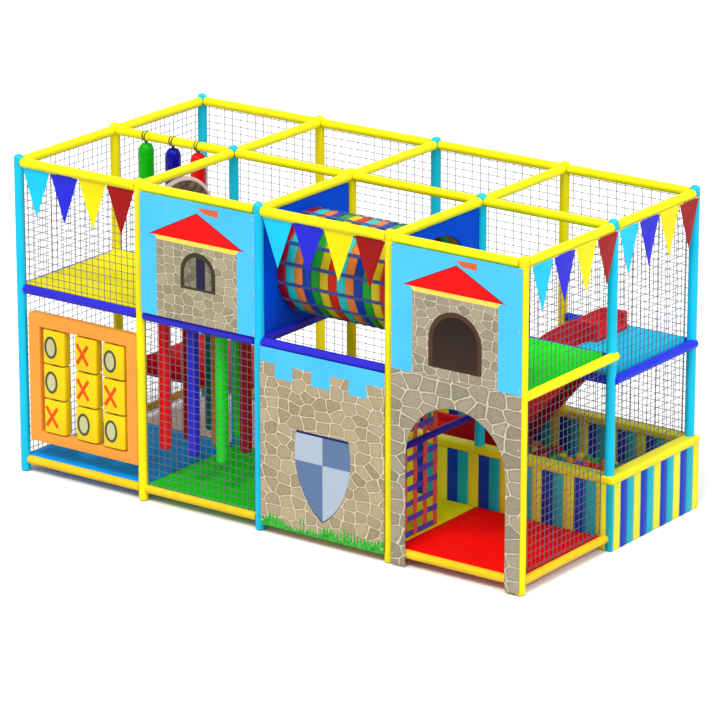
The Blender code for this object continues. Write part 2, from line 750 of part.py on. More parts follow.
def slide_line(offset):
    """Points down the slide, from head to toe, at a height offset from the top of its bed.

    The slope eases in and out along half a cosine wave.
    """
    points = [(SLIDE_HEAD, SLIDE_BED_TOP + offset)]
    for step in range(SLIDE_STEPS + 1):
        share = step / SLIDE_STEPS
        drop = (SLIDE_BED_TOP - SLIDE_FOOT_Z) * (1 - math.cos(math.pi * share)) / 2
        points.append((SLIDE_START - SLIDE_RUN * share, SLIDE_BED_TOP - drop + offset))
    points.append((SLIDE_TOE, SLIDE_FOOT_Z + offset))
    return points


def cheek_foot(z):
    """X of the cheek's sloping lower edge at a height."""
    heel = SLIDE_TOE + SLIDE_FLOOR_LENGTH
    share = z / (LOW_DECK_TOP - SLIDE_CHEEK_DROP)
    return heel + share * (SLIDE_EDGE - GAP - heel)


def make_slide():
    """The slide, one padded body."""
    hook = SLIDE_EDGE - GAP
    seat = LOW_DECK_TOP + GAP
    outline = slide_line(SLIDE_WALL)
    outline += [(SLIDE_TOE, 0.0), (cheek_foot(0.0), 0.0), (hook, LOW_DECK_TOP - SLIDE_CHEEK_DROP),
                (hook, seat), (SLIDE_HEAD, seat)]
    near = SLIDE_Y + SLIDE_CHEEK / 2
    far = SLIDE_Y + SLIDE_WIDTH - SLIDE_CHEEK / 2
    slide = plate("slide", [outline], near, SLIDE_CHEEK, "XZ")
    other = plate("slide_far_cheek", [outline], far, SLIDE_CHEEK, "XZ", CUTTERS)
    bed = slide_line(0.0)
    bed += reversed(slide_line(-SLIDE_BED))
    sheet = plate("slide_bed", [bed], (near + far) / 2, SLIDE_WIDTH - SLIDE_CHEEK, "XZ", CUTTERS)
    fuse(slide, [other, sheet])
    paint(slide, "red", 0.4)


make_slide()


# Ball pit wall and its balls
def make_pit():
    """The padded wall round the pit, with a coping on top, and the bed of balls inside it."""
    coping_foot = PIT_WALL_TOP - COPING_HEIGHT
    wall = pit_box("ball_pit_wall", 0.0, PIT_WALL_TOP - COPING_LIP, 0.0, PARTS)
    fuse(wall, [pit_box("pit_coping", coping_foot, PIT_WALL_TOP, COPING_LIP, CUTTERS)])
    cut(wall, [pit_inside("pit_space", -CUT_MARGIN, coping_foot + COPING_LIP, 0.0, CUTTERS),
               pit_inside("pit_mouth", coping_foot, PIT_WALL_TOP + CUT_MARGIN, COPING_LIP,
                          CUTTERS)])
    clear_posts(wall, (2, 3, 4), (1, 2))
    paint(wall, "yellow", 0.35)
    bed = pit_inside("ball_bed", 0.0, BALL_TOP, BALL_BED_GAP, PARTS)
    low = (SLIDE_TOE - GAP, SLIDE_Y - GAP, -CUT_MARGIN)
    high = (cheek_foot(BALL_TOP) + BALL_BED_GAP, SLIDE_Y + SLIDE_WIDTH + GAP,
            BALL_TOP + CUT_MARGIN)
    cut(bed, [block("slide_foot_space", low, high, CUTTERS)])
    paint(bed, "orange", 0.3)


make_pit()


# Barrier of woven straps hung from a padded beam, below the tunnel's right end
def make_barrier():
    """The strap barrier, from the front post to half the bay's depth, and its beam."""
    x = COLUMNS[3]
    low = (FRONT + POST_CLEAR, MAT_TOP + GAP)
    high = (MIDDLE - BARRIER_OPENING, DECK_RAIL_Z - RAIL_RADIUS - GAP)
    straps = lattice("strap_barrier", (low, high), (BARRIER_COLUMNS, BARRIER_ROWS), BARRIER_STRAP,
                     x, BARRIER_THICKNESS, "YZ")
    fuse(straps, [rail_y("strap_barrier_beam", x, BARRIER_BEAM_Z, BARRIER_BEAM_RADIUS, 0, 1)])
    paint(straps, "purple")


make_barrier()


# Step platform across the left back bay, carried on two rails
def make_step():
    """The padded step, with the two rails that carry it between the middle and back posts."""
    low = (COLUMNS[0] - STEP_OVERHANG, MIDDLE + STEP_FROM_MIDDLE_ROW, STEP_TOP - STEP_THICKNESS)
    high = (COLUMNS[1] + STEP_OVERHANG, BACK - POST_RADIUS - STEP_TO_BACK_POSTS, STEP_TOP)
    step = block("step_platform", low, high)
    fuse(step, [rail_y(f"step_rail_{column + 1}", COLUMNS[column], STEP_RAIL_Z,
                       BASE_RAIL_RADIUS, 1, 2) for column in (0, 1)])
    paint(step, "red")


make_step()


# Noughts-and-crosses board: a frame, three upright rods and nine turning blocks
ROD_Y = FRONT + ROD_FROM_FRONT
BOARD_TOP = DECK_RAIL_Z - BOARD_UNDER_RAIL
OPENING_LEFT = COLUMNS[0] + BOARD_LEFT + BOARD_STILE_LEFT
OPENING_RIGHT = COLUMNS[1] - POST_CLEAR - BOARD_STILE_RIGHT
OPENING_FOOT = BOARD_BOTTOM + BOARD_FOOT_RAIL
OPENING_HEAD = BOARD_TOP - BOARD_HEAD_RAIL
BLOCK_PLACES = [OPENING_LEFT + share * (OPENING_RIGHT - OPENING_LEFT) for share in BLOCK_SHARES]


def make_board():
    """The board's frame, with sockets for the rods."""
    edge = rectangle((COLUMNS[0] + BOARD_LEFT, BOARD_BOTTOM), (COLUMNS[1] - POST_CLEAR, BOARD_TOP))
    opening = rectangle((OPENING_LEFT, OPENING_FOOT), (OPENING_RIGHT, OPENING_HEAD))
    middle = FRONT - BOARD_FRONT + BOARD_DEPTH / 2
    board = plate("game_board", [edge, opening], middle, BOARD_DEPTH, "XZ")
    sockets = []
    for number, x in enumerate(BLOCK_PLACES, 1):
        sockets.append(rod(f"rod_space_{number}", x, GAP / FLAT_RATIO, GAP, CUTTERS))
    cut(board, sockets)
    paint(board, "orange", 0.45)


def rod(name, x, wider, longer, group):
    """An upright rod through the board's opening, or the space for one."""
    low = (x, ROD_Y, OPENING_FOOT - ROD_SOCKET - longer)
    high = (x, ROD_Y, OPENING_HEAD + ROD_SOCKET + longer)
    return tube(name, low, high, ROD_RADIUS + wider, group, ROD_SIDES)


def rounded_rectangle(centre, width, depth, rounding):
    """A rectangle with three points on each rounded corner."""
    points = []
    for corner, (side_u, side_v) in enumerate(((1, 1), (-1, 1), (-1, -1), (1, -1))):
        middle_u = centre[0] + side_u * (width / 2 - rounding)
        middle_v = centre[1] + side_v * (depth / 2 - rounding)
        for step in range(3):
            angle = math.pi / 2 * (corner + step / 2)
            points.append((middle_u + rounding * math.cos(angle),
                           middle_v + rounding * math.sin(angle)))
    return points


def place_on_pivot(obj, pivot):
    """Move the object's origin to its joint, with its shape left where it is."""
    obj.data.transform(Matrix.Translation(-Vector(pivot)))
    obj.location = pivot


def make_blocks():
    """Three blocks on each rod, each free to turn round it."""
    pitch = (OPENING_HEAD - OPENING_FOOT - BLOCK_SPACE) / 3
    height = pitch - BLOCK_SPACE
    spacing = min(BLOCK_PLACES[1] - BLOCK_PLACES[0], BLOCK_PLACES[2] - BLOCK_PLACES[1])
    width = spacing - BLOCK_SIDE_SPACE
    for column, x in enumerate(BLOCK_PLACES):
        for row in range(3):
            middle = OPENING_HEAD - BLOCK_SPACE - height / 2 - row * pitch
            edge = rounded_rectangle((x, ROD_Y), width, BLOCK_DEPTH, BLOCK_ROUNDING)
            bore = circle((x, ROD_Y), ROD_RADIUS + BORE_CLEARANCE, ROD_SIDES)
            piece = plate(f"game_block_{row + 1}{column + 1}", [edge, bore], middle, height, "XY")
            place_on_pivot(piece, (x, ROD_Y, middle))
            smooth(piece)
            paint(piece, "yellow", 0.4)


make_board()
for rod_number, rod_x in enumerate(BLOCK_PLACES, 1):
    game_rod = rod(f"game_rod_{rod_number}", rod_x, 0.0, 0.0, PARTS)
    paint(smooth(game_rod), "steel", 0.3, 1.0)
make_blocks()


# Punch bags, each on a strap ring round the middle top rail
def make_bag(place, colour):
    """A punch bag that swings about the rail it hangs from."""
    pivot = Vector((COLUMNS[0] + place, MIDDLE, TOP_RAIL_Z))
    top = -BAG_TOP_DROP
    foot = top - BAG_LENGTH
    neck = BAG_RADIUS - BAG_ROUNDING
    shoulder = BAG_RADIUS - BAG_ROUNDING / 4
    profile = [(0.0, top), (neck, top - BAG_ROUNDING / 4), (shoulder, top - BAG_ROUNDING),
               (BAG_RADIUS, top - 2 * BAG_ROUNDING), (BAG_RADIUS, foot + BAG_ROUNDING),
               (shoulder, foot + BAG_ROUNDING / 4), (0.0, foot)]
    bag = turned(f"punch_bag_{colour}", profile, pivot, BAG_SIDES)
    inner = RAIL_RADIUS + BAG_RING_CLEARANCE
    outer = inner + BAG_STRAP_THICKNESS
    centre = (pivot.y, pivot.z)
    ring = plate(f"bag_ring_{colour}", [circle(centre, outer, ROUND_SIDES),
                                        circle(centre, inner, ROUND_SIDES)],
                 pivot.x, BAG_STRAP_WIDTH, "YZ", CUTTERS)
    half = BAG_STRAP_WIDTH / 2
    high = pivot.z - inner - BAG_STRAP_THICKNESS / 2
    low = pivot.z + top - BAG_STRAP_WIDTH
    strap = plate(f"bag_strap_{colour}", [[(pivot.x - 2 * half, low), (pivot.x + 2 * half, low),
                                           (pivot.x + half, high), (pivot.x - half, high)]],
                  pivot.y, BAG_STRAP_THICKNESS, "XZ", CUTTERS)
    fuse(bag, [strap, ring])
    smooth(bag)
    paint(bag, colour, 0.35)


for bag_place, bag_colour in zip(BAG_PLACES, BAG_COLOURS):
    make_bag(bag_place, bag_colour)


# Hanging foam poles under the walkway, each on a strap
POLE_COLOURS = (("red", "blue", "green"), ("dark_red", "orange", "dark_red"),
                ("teal", "green", "blue"))


def make_pole(row, column):
    """A foam pole that swings about the rounded head of its strap, just below the deck."""
    pivot_z = DECK_TOP - DECK_THICKNESS - GAP - POLE_STRAP_RADIUS
    pivot = (COLUMNS[1] + POLE_COLUMNS[column], FRONT + POLE_ROWS[row], pivot_z)
    foot = POLE_BOTTOM - pivot_z
    head = POLE_STRAP_RADIUS * math.sqrt(0.5)
    shoulder = POLE_RADIUS - POLE_ROUNDING / 3
    top = -POLE_STRAP_LENGTH
    profile = [(0.0, POLE_STRAP_RADIUS), (head, head), (POLE_STRAP_RADIUS, 0.0),
               (POLE_STRAP_RADIUS, top), (shoulder, top - POLE_ROUNDING / 3),
               (POLE_RADIUS, top - POLE_ROUNDING), (POLE_RADIUS, foot + POLE_ROUNDING),
               (shoulder, foot), (0.0, foot)]
    pole = turned(f"hanging_pole_{row + 1}{column + 1}", profile, pivot, POLE_SIDES)
    smooth(pole)
    paint(pole, POLE_COLOURS[row][column])


for pole_row in range(len(POLE_ROWS)):
    for pole_column in range(len(POLE_COLUMNS)):
        make_pole(pole_row, pole_column)


# Safety nets: the back and left ones are laced to the outside of the posts
def net_panel(name, low, high, middle, plane, notch=None):
    """A net of nearly square cells."""
    columns = max(1, round((high[0] - low[0]) / NET_CELL))
    rows = max(1, round((high[1] - low[1]) / NET_CELL))
    return lattice(name, (low, high), (columns, rows), NET_STRAND, middle, NET_THICKNESS, plane,
                   notch)


def make_side_nets():
    """The nets of the left side, the back and the right side."""
    top = TOP_RAIL_Z + NET_TOP_REACH
    net_panel("net_left", (FRONT - POST_RADIUS, NET_FLOOR_GAP), (BACK + POST_RADIUS, top),
              COLUMNS[0] - NET_OFFSET, "YZ")
    pit_left = COLUMNS[PIT_COLUMN] - PIT_WALL_LEFT[0] - COPING_LIP - GAP
    sill = PIT_WALL_TOP + GAP
    net_panel("net_back", (COLUMNS[0] - POST_RADIUS, NET_FLOOR_GAP),
              (COLUMNS[4] + POST_RADIUS, top), BACK + NET_OFFSET, "XZ", (pit_left, sill))
    pit_front = MIDDLE - PIT_WALL_FRONT[0] - COPING_LIP - GAP
    right = net_panel("net_right", (FRONT + RAIL_CLEAR, BASE_RAIL_TOP),
                      (BACK - RAIL_CLEAR, TOP_RAIL_BOTTOM), COLUMNS[4] - NET_OFFSET, "YZ",
                      (pit_front, sill))
    cutter_radius = RAIL_CLEAR / FLAT_RATIO
    for z in (DECK_RAIL_Z, LOW_DECK_RAIL_Z):
        cut(right, [tube(f"net_rail_space_{round(1000 * z)}", (COLUMNS[3], MIDDLE, z),
                         (COLUMNS[4], MIDDLE, z), cutter_radius, CUTTERS)])


def make_front_nets():
    """The nets between the front posts: first bay upper level, second bay lower level."""
    net_panel("net_front_upper", (COLUMNS[0] + POST_CLEAR, DECK_RAIL_Z + RAIL_CLEAR),
              (COLUMNS[1] - POST_CLEAR, TOP_RAIL_BOTTOM), FRONT, "XZ")
    net_panel("net_front_lower", (COLUMNS[1] + POST_CLEAR, BASE_RAIL_TOP),
              (COLUMNS[2] - POST_CLEAR, DECK_RAIL_Z - RAIL_CLEAR), FRONT, "XZ")


make_side_nets()
make_front_nets()
for net in [obj for obj in PARTS.objects if obj.name.startswith("net_")]:
    paint(net, "net", 0.7)


# Bunting: triangular pennants on a hem tape
def make_bunting(name, spans, middle, plane):
    """A string of pennants over one or more bays, as one outline with points along its foot."""
    top = TOP_RAIL_Z - HEM_UNDER_RAIL
    hem = top - HEM_HEIGHT
    outline = [(spans[-1][1], top), (spans[0][0], top)]
    for start, end in spans:
        pitch = (end - start) / FLAGS_PER_BAY
        for flag in range(FLAGS_PER_BAY):
            left = start + flag * pitch
            outline.append((left, hem))
            outline.append((left + pitch / 2, hem - FLAG_LENGTH))
        outline.append((end, hem))
    bunting = plate(name, [outline], middle, BUNTING_THICKNESS, plane)
    paint(bunting, "cyan", 0.45)


def make_buntings():
    """Front bay one, front bay three, and the whole right side.

    The front ones are laced to the rail above them, just before the net, and the side one lies
    against the outside of the posts.
    """
    front = FRONT - NET_THICKNESS / 2 - PANEL_GAP - BUNTING_THICKNESS / 2
    for name, bay in (("bunting_front_left", 0), ("bunting_front_right", 2)):
        span = (COLUMNS[bay] + POST_CLEAR, COLUMNS[bay + 1] - POST_CLEAR)
        make_bunting(name, [span], front, "XZ")
    side = COLUMNS[4] + POST_RADIUS + PANEL_GAP + BUNTING_THICKNESS / 2
    spans = [(FRONT + POST_CLEAR, MIDDLE - POST_CLEAR), (MIDDLE + POST_CLEAR, BACK - POST_CLEAR)]
    make_bunting("bunting_side", spans, side, "YZ")


make_buntings()
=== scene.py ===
"""Play maze: a two-level soft play frame with decks, printed walls, nets, games, slide and ball pit."""
import math

import bmesh
import bpy
import numpy as np
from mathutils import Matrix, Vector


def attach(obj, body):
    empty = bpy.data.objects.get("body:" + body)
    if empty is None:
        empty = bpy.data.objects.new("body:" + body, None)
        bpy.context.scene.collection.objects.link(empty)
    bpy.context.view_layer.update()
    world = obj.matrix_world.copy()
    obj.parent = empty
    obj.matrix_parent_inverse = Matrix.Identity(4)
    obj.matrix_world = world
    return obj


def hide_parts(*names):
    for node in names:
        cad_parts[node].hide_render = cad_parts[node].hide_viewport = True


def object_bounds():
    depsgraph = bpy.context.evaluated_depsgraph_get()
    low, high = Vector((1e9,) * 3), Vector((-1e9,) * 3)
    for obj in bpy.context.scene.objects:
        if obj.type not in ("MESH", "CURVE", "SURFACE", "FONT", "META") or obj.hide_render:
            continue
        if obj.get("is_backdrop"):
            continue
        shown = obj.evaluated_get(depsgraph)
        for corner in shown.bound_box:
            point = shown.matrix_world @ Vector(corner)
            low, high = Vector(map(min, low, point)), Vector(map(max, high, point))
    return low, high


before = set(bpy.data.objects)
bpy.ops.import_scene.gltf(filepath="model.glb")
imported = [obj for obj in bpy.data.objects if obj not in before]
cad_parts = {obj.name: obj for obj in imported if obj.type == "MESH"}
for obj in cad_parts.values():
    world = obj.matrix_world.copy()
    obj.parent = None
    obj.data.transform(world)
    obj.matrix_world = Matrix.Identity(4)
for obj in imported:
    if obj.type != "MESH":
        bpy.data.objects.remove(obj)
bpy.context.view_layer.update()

# Camera
# It stands high above the right of the front, where the photograph was taken from, on a long lens.


def placed(name, data):
    """A new object with its data, put in the scene."""
    made = bpy.data.objects.new(name, data)
    bpy.context.scene.collection.objects.link(made)
    return made


lens = bpy.data.cameras.new("camera")
lens.lens, lens.sensor_width, lens.clip_end = 220.4, 36.0, 300.0
camera = placed("camera", lens)
camera.location = (19.293, -26.525, 11.665)
camera.rotation_euler = (math.radians(90.0 - 17.925), 0.0, math.radians(35.915))
bpy.context.scene.camera = camera

# Posts
# Fifteen steel tubes on a grid, each in a foam sleeve with a glossy skin, slit down one side and
# pulled on over the tube, with a domed plastic cap pushed into its top and a cup under its foot.
POST_X = (-2.346, -1.146, 0.0, 1.218, 2.404)
POST_Y = (-1.190, 0.0, 1.142)
POST_RADIUS, POST_TOP = 0.039, 2.531
POST_COLOURS = ("cyan yellow cyan yellow yellow".split(), "yellow cyan yellow cyan cyan".split(),
                "cyan yellow cyan yellow cyan".split())
ROW_NAMES = ("front", "middle", "back")


def paint(red, green, blue):
    """A paint as its eight-bit red, green and blue, turned into light values for a shader."""
    levels = np.array([red, green, blue]) / 255
    light = np.where(levels <= 0.04045, levels / 12.92, ((levels + 0.055) / 1.055) ** 2.4)
    return (*light.tolist(), 1.0)


def toned(colour, gain, lift=0.0):
    """A shader's colour made deeper or paler: each level times a gain, with a lift added."""
    return (*(gain * level + lift for level in colour[:3]), 1.0)


def plug(node, sockets):
    """Gives each socket of a shader node its value, or wires it to another node's output."""
    for key, value in sockets.items():
        if isinstance(value, bpy.types.NodeSocket):
            node.id_data.links.new(value, node.inputs[key])
        else:
            node.inputs[key].default_value = value


def wire(tree, kind, sockets, **settings):
    """A new shader node with its settings and its sockets."""
    made = tree.nodes.new("ShaderNode" + kind)
    for key, value in settings.items():
        setattr(made, key, value)
    plug(made, sockets)
    return made


def reckon(tree, operation, *values):
    """The output of one sum on numbers or sockets."""
    return wire(tree, "Math", dict(enumerate(values)), operation=operation).outputs[0]


def between(tree, value, low, high, from_low=0.0, to_high=1.0):
    """A value scaled from one span to another and held at its ends."""
    return wire(tree, "MapRange", {"Value": value, "From Min": low, "From Max": high,
                                   "To Min": from_low, "To Max": to_high}).outputs[0]


def layer(tree, share, under, over):
    """Two colours mixed: the second one covers the first by the share."""
    return wire(tree, "Mix", {0: share, 6: under, 7: over}, data_type="RGBA").outputs[2]


def bare_finish(name):
    """A new material with only its shader, and the place on the piece that its patterns follow."""
    finish = bpy.data.materials.new(name)
    finish.use_nodes = True
    tree = finish.node_tree
    shader = tree.nodes["Principled BSDF"]
    return finish, tree, shader, wire(tree, "TexCoord", {}).outputs["Object"]


def cloud(tree, place, scale, detail=3.0, stir=0.0):
    """A soft noise of that many lumps a metre."""
    return wire(tree, "TexNoise", {"Vector": place, "Scale": scale, "Detail": detail,
                                   "Distortion": stir}).outputs[0]


def relief(tree, height, distance, **below):
    """A surface raised by a height times a distance in metres, on top of any relief below it."""
    return wire(tree, "Bump", {"Height": height, "Distance": distance, "Strength": 1.0, **below}
                ).outputs[0]


def soft_skin(name, colour, gloss=(0.30, 0.46), grain=420.0, grain_depth=0.0001, dents=7.0,
              dent_depth=0.0016, wear=0.10, coat=0.04, mirror=0.12):
    """Vinyl or foam skin: the colour drifts in broad patches, scuffs dull and pale it, a fine
    grain and slow dents raise it, and its gloss changes from place to place."""
    finish, tree, shader, place = bare_finish(name)
    patch = between(tree, cloud(tree, place, 2.3), 0.32, 0.68)
    body = layer(tree, patch, toned(colour, 0.86), colour)
    scuff = between(tree, cloud(tree, place, 31.0, 6.0, 1.2), 0.60, 0.78, 0.0, wear * 3)
    shine = between(tree, cloud(tree, place, 13.0, 5.0), 0.3, 0.7, *gloss)
    slow = relief(tree, cloud(tree, place, dents, 2.0), dent_depth)
    plug(shader, {"Base Color": layer(tree, scuff, body, toned(colour, 0.9, 0.045)),
                  "Roughness": reckon(tree, "MULTIPLY_ADD", scuff, 0.35, shine),
                  "Normal": relief(tree, cloud(tree, place, grain, 2.0), grain_depth, Normal=slow),
                  "Specular IOR Level": mirror, "Coat Weight": coat, "Coat Roughness": 0.25})
    return finish


def skin_set(paints, kind, *looks):
    """One soft skin for each named paint."""
    return {name: soft_skin(f"{name} {kind}", paint(*level), *looks)
            for name, level in paints.items()}


def carried(rings, looped=False):
    """A skin over rings of points that follow each other along a path: each point is joined to
    the next one round its ring and to its like in the next ring. End rings are closed by one face
    each, unless the path is looped. A corner's cloth place is its way round and along, in
    metres."""
    rings = np.asarray(rings, float)
    rings = rings.reshape((-1,) + rings.shape[-3:])
    count, rows, sides, _ = rings.shape
    number = np.arange(count * rows * sides).reshape(count, rows, sides)
    number = np.concatenate([number, number[:, :, :1]], 2)
    whole = np.concatenate([rings, rings[:, :, :1]], 2)
    if looped:
        number = np.concatenate([number, number[:, :1]], 1)
        whole = np.concatenate([whole, whole[:, :1]], 1)
    way_round, way_along = np.zeros(whole.shape[:3]), np.zeros(whole.shape[:3])
    way_round[:, :, 1:] = np.linalg.norm(np.diff(whole, axis=2), axis=-1).cumsum(2)
    way_along[:, 1:] = np.linalg.norm(np.diff(whole, axis=1), axis=-1).cumsum(1)
    corners = [np.stack([a[:, :-1, :-1], a[:, :-1, 1:], a[:, 1:, 1:], a[:, 1:, :-1]], -1)
               .reshape(-1, 4) for a in (number, way_round, way_along)]
    faces, cloth = corners[0], np.stack(corners[1:], -1)
    ends = np.zeros((0, sides), int)
    if not looped:
        ends = np.concatenate([number[:, 0, -2::-1], number[:, -1, :-1]])
    middle = (rings - rings.mean((1, 2), keepdims=True)).reshape(-1, 3)[faces]
    turn = np.cross(middle[:, 2] - middle[:, 0], middle[:, 3] - middle[:, 1])
    if (turn * middle.mean(1)).sum() < 0:
        faces, cloth, ends = faces[:, ::-1], cloth[:, ::-1], ends[:, ::-1]
    return rings.reshape(-1, 3), faces, ends, cloth


def piece(name, skins, finishes, nodes, body="root", crease=38.0, weld=False):
    """One object from its skins, with the finish that has each skin's number, riding on its body.
    A crease angle keeps edges crisp, and weld joins points that meet."""
    finishes = finishes if isinstance(finishes, (list, tuple)) else [finishes]
    points, faces, cloth, marks, passed = [], [], [], [], 0
    for order, (spots, sides, ends, spread) in enumerate(skins):
        points.append(spots)
        faces += (sides + passed).tolist() + (ends + passed).tolist()
        cloth += [spread.reshape(-1, 2), np.zeros((ends.size, 2))]
        marks.append(np.full(len(sides) + len(ends), order % len(finishes)))
        passed += len(spots)
    mesh = bpy.data.meshes.new(name)
    mesh.from_pydata(np.concatenate(points), [], faces)
    mesh.uv_layers.new(name="cloth").data.foreach_set("uv", np.concatenate(cloth).ravel())
    mesh.polygons.foreach_set("material_index", np.concatenate(marks))
    mesh.polygons.foreach_set("use_smooth", np.ones(len(mesh.polygons), bool))
    for finish in finishes:
        mesh.materials.append(finish)
    if weld:
        shape = bmesh.new()
        shape.from_mesh(mesh)
        bmesh.ops.remove_doubles(shape, verts=shape.verts, dist=1e-5)
        bmesh.ops.delete(shape, geom=[face for face in shape.faces if face.calc_area() < 1e-9],
                         context="FACES_ONLY")
        shape.to_mesh(mesh)
        shape.free()
    mesh.set_sharp_from_angle(angle=math.radians(crease))
    made = placed(name, mesh)
    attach(made, body)
    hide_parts(*([nodes] if isinstance(nodes, str) else nodes))
    return made


def quarter(count):
    """Even angles through a quarter turn."""
    return np.linspace(0, np.pi / 2, count)


def round_turn(count):
    """Even angles round a full turn."""
    return np.linspace(0, 2 * np.pi, count, endpoint=False)


def spokes(angle):
    """The points of a unit circle at these angles, across and up."""
    return np.stack([np.cos(angle), np.sin(angle)], -1)


def at_level(rings, levels, axis=2):
    """Flat rings, each set at its level along the axis that they lack."""
    return np.insert(rings, axis, np.asarray(levels)[:, None], -1)


def unit(ways):
    """Directions with their length made one."""
    return ways / np.linalg.norm(ways, axis=-1, keepdims=True)


def hoop(first, second, sides):
    """Unit rings in the plane of two square directions: the cosine of each angle along the first
    and its sine along the second."""
    angle = round_turn(sides)[:, None]
    return np.cos(angle) * first[..., None, :] + np.sin(angle) * second[..., None, :]


def across(direction):
    """Two unit vectors square to a direction and to each other."""
    first = unit(np.cross(direction, (0.0, 0.0, 1.0) if abs(direction[2]) < 0.9
                          else (1.0, 0.0, 0.0)))
    return first, np.cross(direction, first)


SLEEVE_SIDES, SLEEVE_LIP, SLIT_DEPTH, SLIT_ANGLE = 28, 0.006, 0.0012, np.pi * 0.75


def sleeve(start, end, radius):
    """A foam sleeve: circles carried from start to end. The radius falls by a quarter circle at
    each end, dips in a narrow bell along the slit, and waves by parts of a millimetre."""
    start, end = np.array(start, float), np.array(end, float)
    length = np.linalg.norm(end - start)
    along = (end - start) / length
    bend = quarter(4)
    lip, draw_in = SLEEVE_LIP * (1 - np.cos(bend)), SLEEVE_LIP * (1 - np.sin(bend))
    middle = np.linspace(SLEEVE_LIP, length - SLEEVE_LIP, max(4, int(length / 0.045)))[1:-1]
    place = np.concatenate([lip, middle, length - lip[::-1]])
    fall = np.concatenate([draw_in, 0 * middle, draw_in[::-1]])
    angle = round_turn(SLEEVE_SIDES)
    wave = 0.0005 * np.sin(place[:, None] * 19 + start.sum() * 7) * np.cos(2 * angle + start[0])
    cut = SLIT_DEPTH * np.exp(-((angle - SLIT_ANGLE) / 0.16) ** 2)
    size = radius - fall[:, None] - cut + wave
    return (start + place[:, None, None] * along
            + size[..., None] * hoop(*across(along), SLEEVE_SIDES))


def turned(centre, profile, sides=28):
    """A profile of radius and height pairs turned about an upright line through the centre."""
    profile = np.array(profile, float)
    angle = round_turn(sides)
    ring = np.stack([np.cos(angle), np.sin(angle), 0 * angle], -1)
    return (np.array(centre, float) + profile[:, 0][:, None, None] * ring
            + profile[:, 1][:, None, None] * np.array([0.0, 0.0, 1.0]))


sleeve_finish = skin_set({"cyan": (20, 200, 240), "yellow": (252, 236, 12)}, "sleeve")
cap_finish = skin_set({"cyan": (30, 200, 225), "yellow": (255, 238, 20)}, "cap", (0.2, 0.3), 90.0,
                      0.00005)
foot_cup = soft_skin("grey foot cup", paint(90, 92, 95), (0.4, 0.55))
dome = quarter(7)
cap_profile = [(0.0385, 0.0), (0.0395, 0.003), (0.0395, 0.045),
               *zip(0.006 + 0.0335 * np.cos(dome), 0.049 + 0.030 * np.sin(dome))]
for row, y in enumerate(POST_Y):
    for column, x in enumerate(POST_X):
        colour, where = POST_COLOURS[row][column], f"{ROW_NAMES[row]}_{column + 1}"
        node, slot = f"frame_{column + 1}", f"sleeve_{colour}"
        piece(f"post_{where}", [carried(sleeve((x, y, 0.006), (x, y, POST_TOP), POST_RADIUS))],
              sleeve_finish[colour], node)
        piece(f"post_cap_{where}", [carried(turned((x, y, POST_TOP + 0.001), cap_profile))],
              cap_finish[colour], f"top_rail_{ROW_NAMES[row]}")
        piece(f"post_foot_{where}",
              [carried(turned((x, y, 0.0), [(0.028, 0.0), (0.031, 0.001), (0.031, 0.0055)]))],
              foot_cup, node)

# Top and cross rails
# Yellow foam sleeves on steel tubes, clamped between the posts along the length and from front to
# back, with the side base rails and the right side's deck rails.
RAIL_RADIUS, BASE_RADIUS = 0.0375, 0.034
TOP_Z, SIDE_DECK_Z, LOW_DECK_Z, BASE_Z, SIDE_RAIL_X = 2.55, 1.54, 1.35, 0.10, 2.424
rail_yellow = soft_skin("yellow rail sleeve", paint(255, 245, 15))
base_yellow = soft_skin("yellow base sleeve", paint(250, 205, 30))
deck_blue = soft_skin("blue deck edge sleeve", paint(48, 42, 205))
low_blue = soft_skin("low deck edge sleeve", paint(30, 52, 220))


def post(column, row, height):
    """A point on the centre line of one post."""
    return POST_X[column], POST_Y[row], height


def rail(name, start, end, radius, finish, node, back_off=POST_RADIUS - 0.002):
    """A rail's sleeve between two post centres, its ends drawn back to the posts' sides."""
    start, end = np.array(start, float), np.array(end, float)
    drawn = unit(end - start) * back_off
    return piece(name, [carried(sleeve(start + drawn, end - drawn, radius))], finish, node)


for row, place in enumerate(ROW_NAMES):
    for bay in range(4):
        rail(f"top_rail_{place}_{bay + 1}", post(bay, row, TOP_Z), post(bay + 1, row, TOP_Z),
             RAIL_RADIUS, rail_yellow, f"top_rail_{place}")
for column in range(5):
    for part in range(2):
        rail(f"cross_rail_{column + 1}_{part + 1}", post(column, part, TOP_Z),
             post(column, part + 1, TOP_Z), RAIL_RADIUS, rail_yellow, f"frame_{column + 1}")
for part in range(2):
    rail(f"left_base_rail_{part + 1}", post(0, part, BASE_Z), post(0, part + 1, BASE_Z),
         BASE_RADIUS, base_yellow, "frame_1")
rail("right_base_rail", post(4, 0, BASE_Z), (POST_X[4], -0.008, BASE_Z), BASE_RADIUS, base_yellow,
     "frame_5")
rail("right_deck_rail", (SIDE_RAIL_X, -1.190, SIDE_DECK_Z), (SIDE_RAIL_X, 0.030, SIDE_DECK_Z),
     RAIL_RADIUS, rail_yellow, "frame_5", 0.0)
rail("right_low_deck_rail", (SIDE_RAIL_X, 0.0, LOW_DECK_Z), (SIDE_RAIL_X, 1.157, LOW_DECK_Z),
     RAIL_RADIUS, low_blue, "frame_5", 0.0)

# Decks
# Plywood floors wrapped in foam and vinyl, seamed along a rim at mid height, notched round the
# posts and hung between padded rails: yellow over two bays, green over the gate, and a lower blue.


def steps_over(low, high, roll):
    """Places over a width, close together on the rolled edges and spaced out between them."""
    edge = roll * (1 - np.cos(quarter(6)))
    middle = np.linspace(low + roll, high - roll, max(3, int((high - low) / 0.045)))[1:-1]
    return np.concatenate([low + edge, middle, high - edge[::-1]])


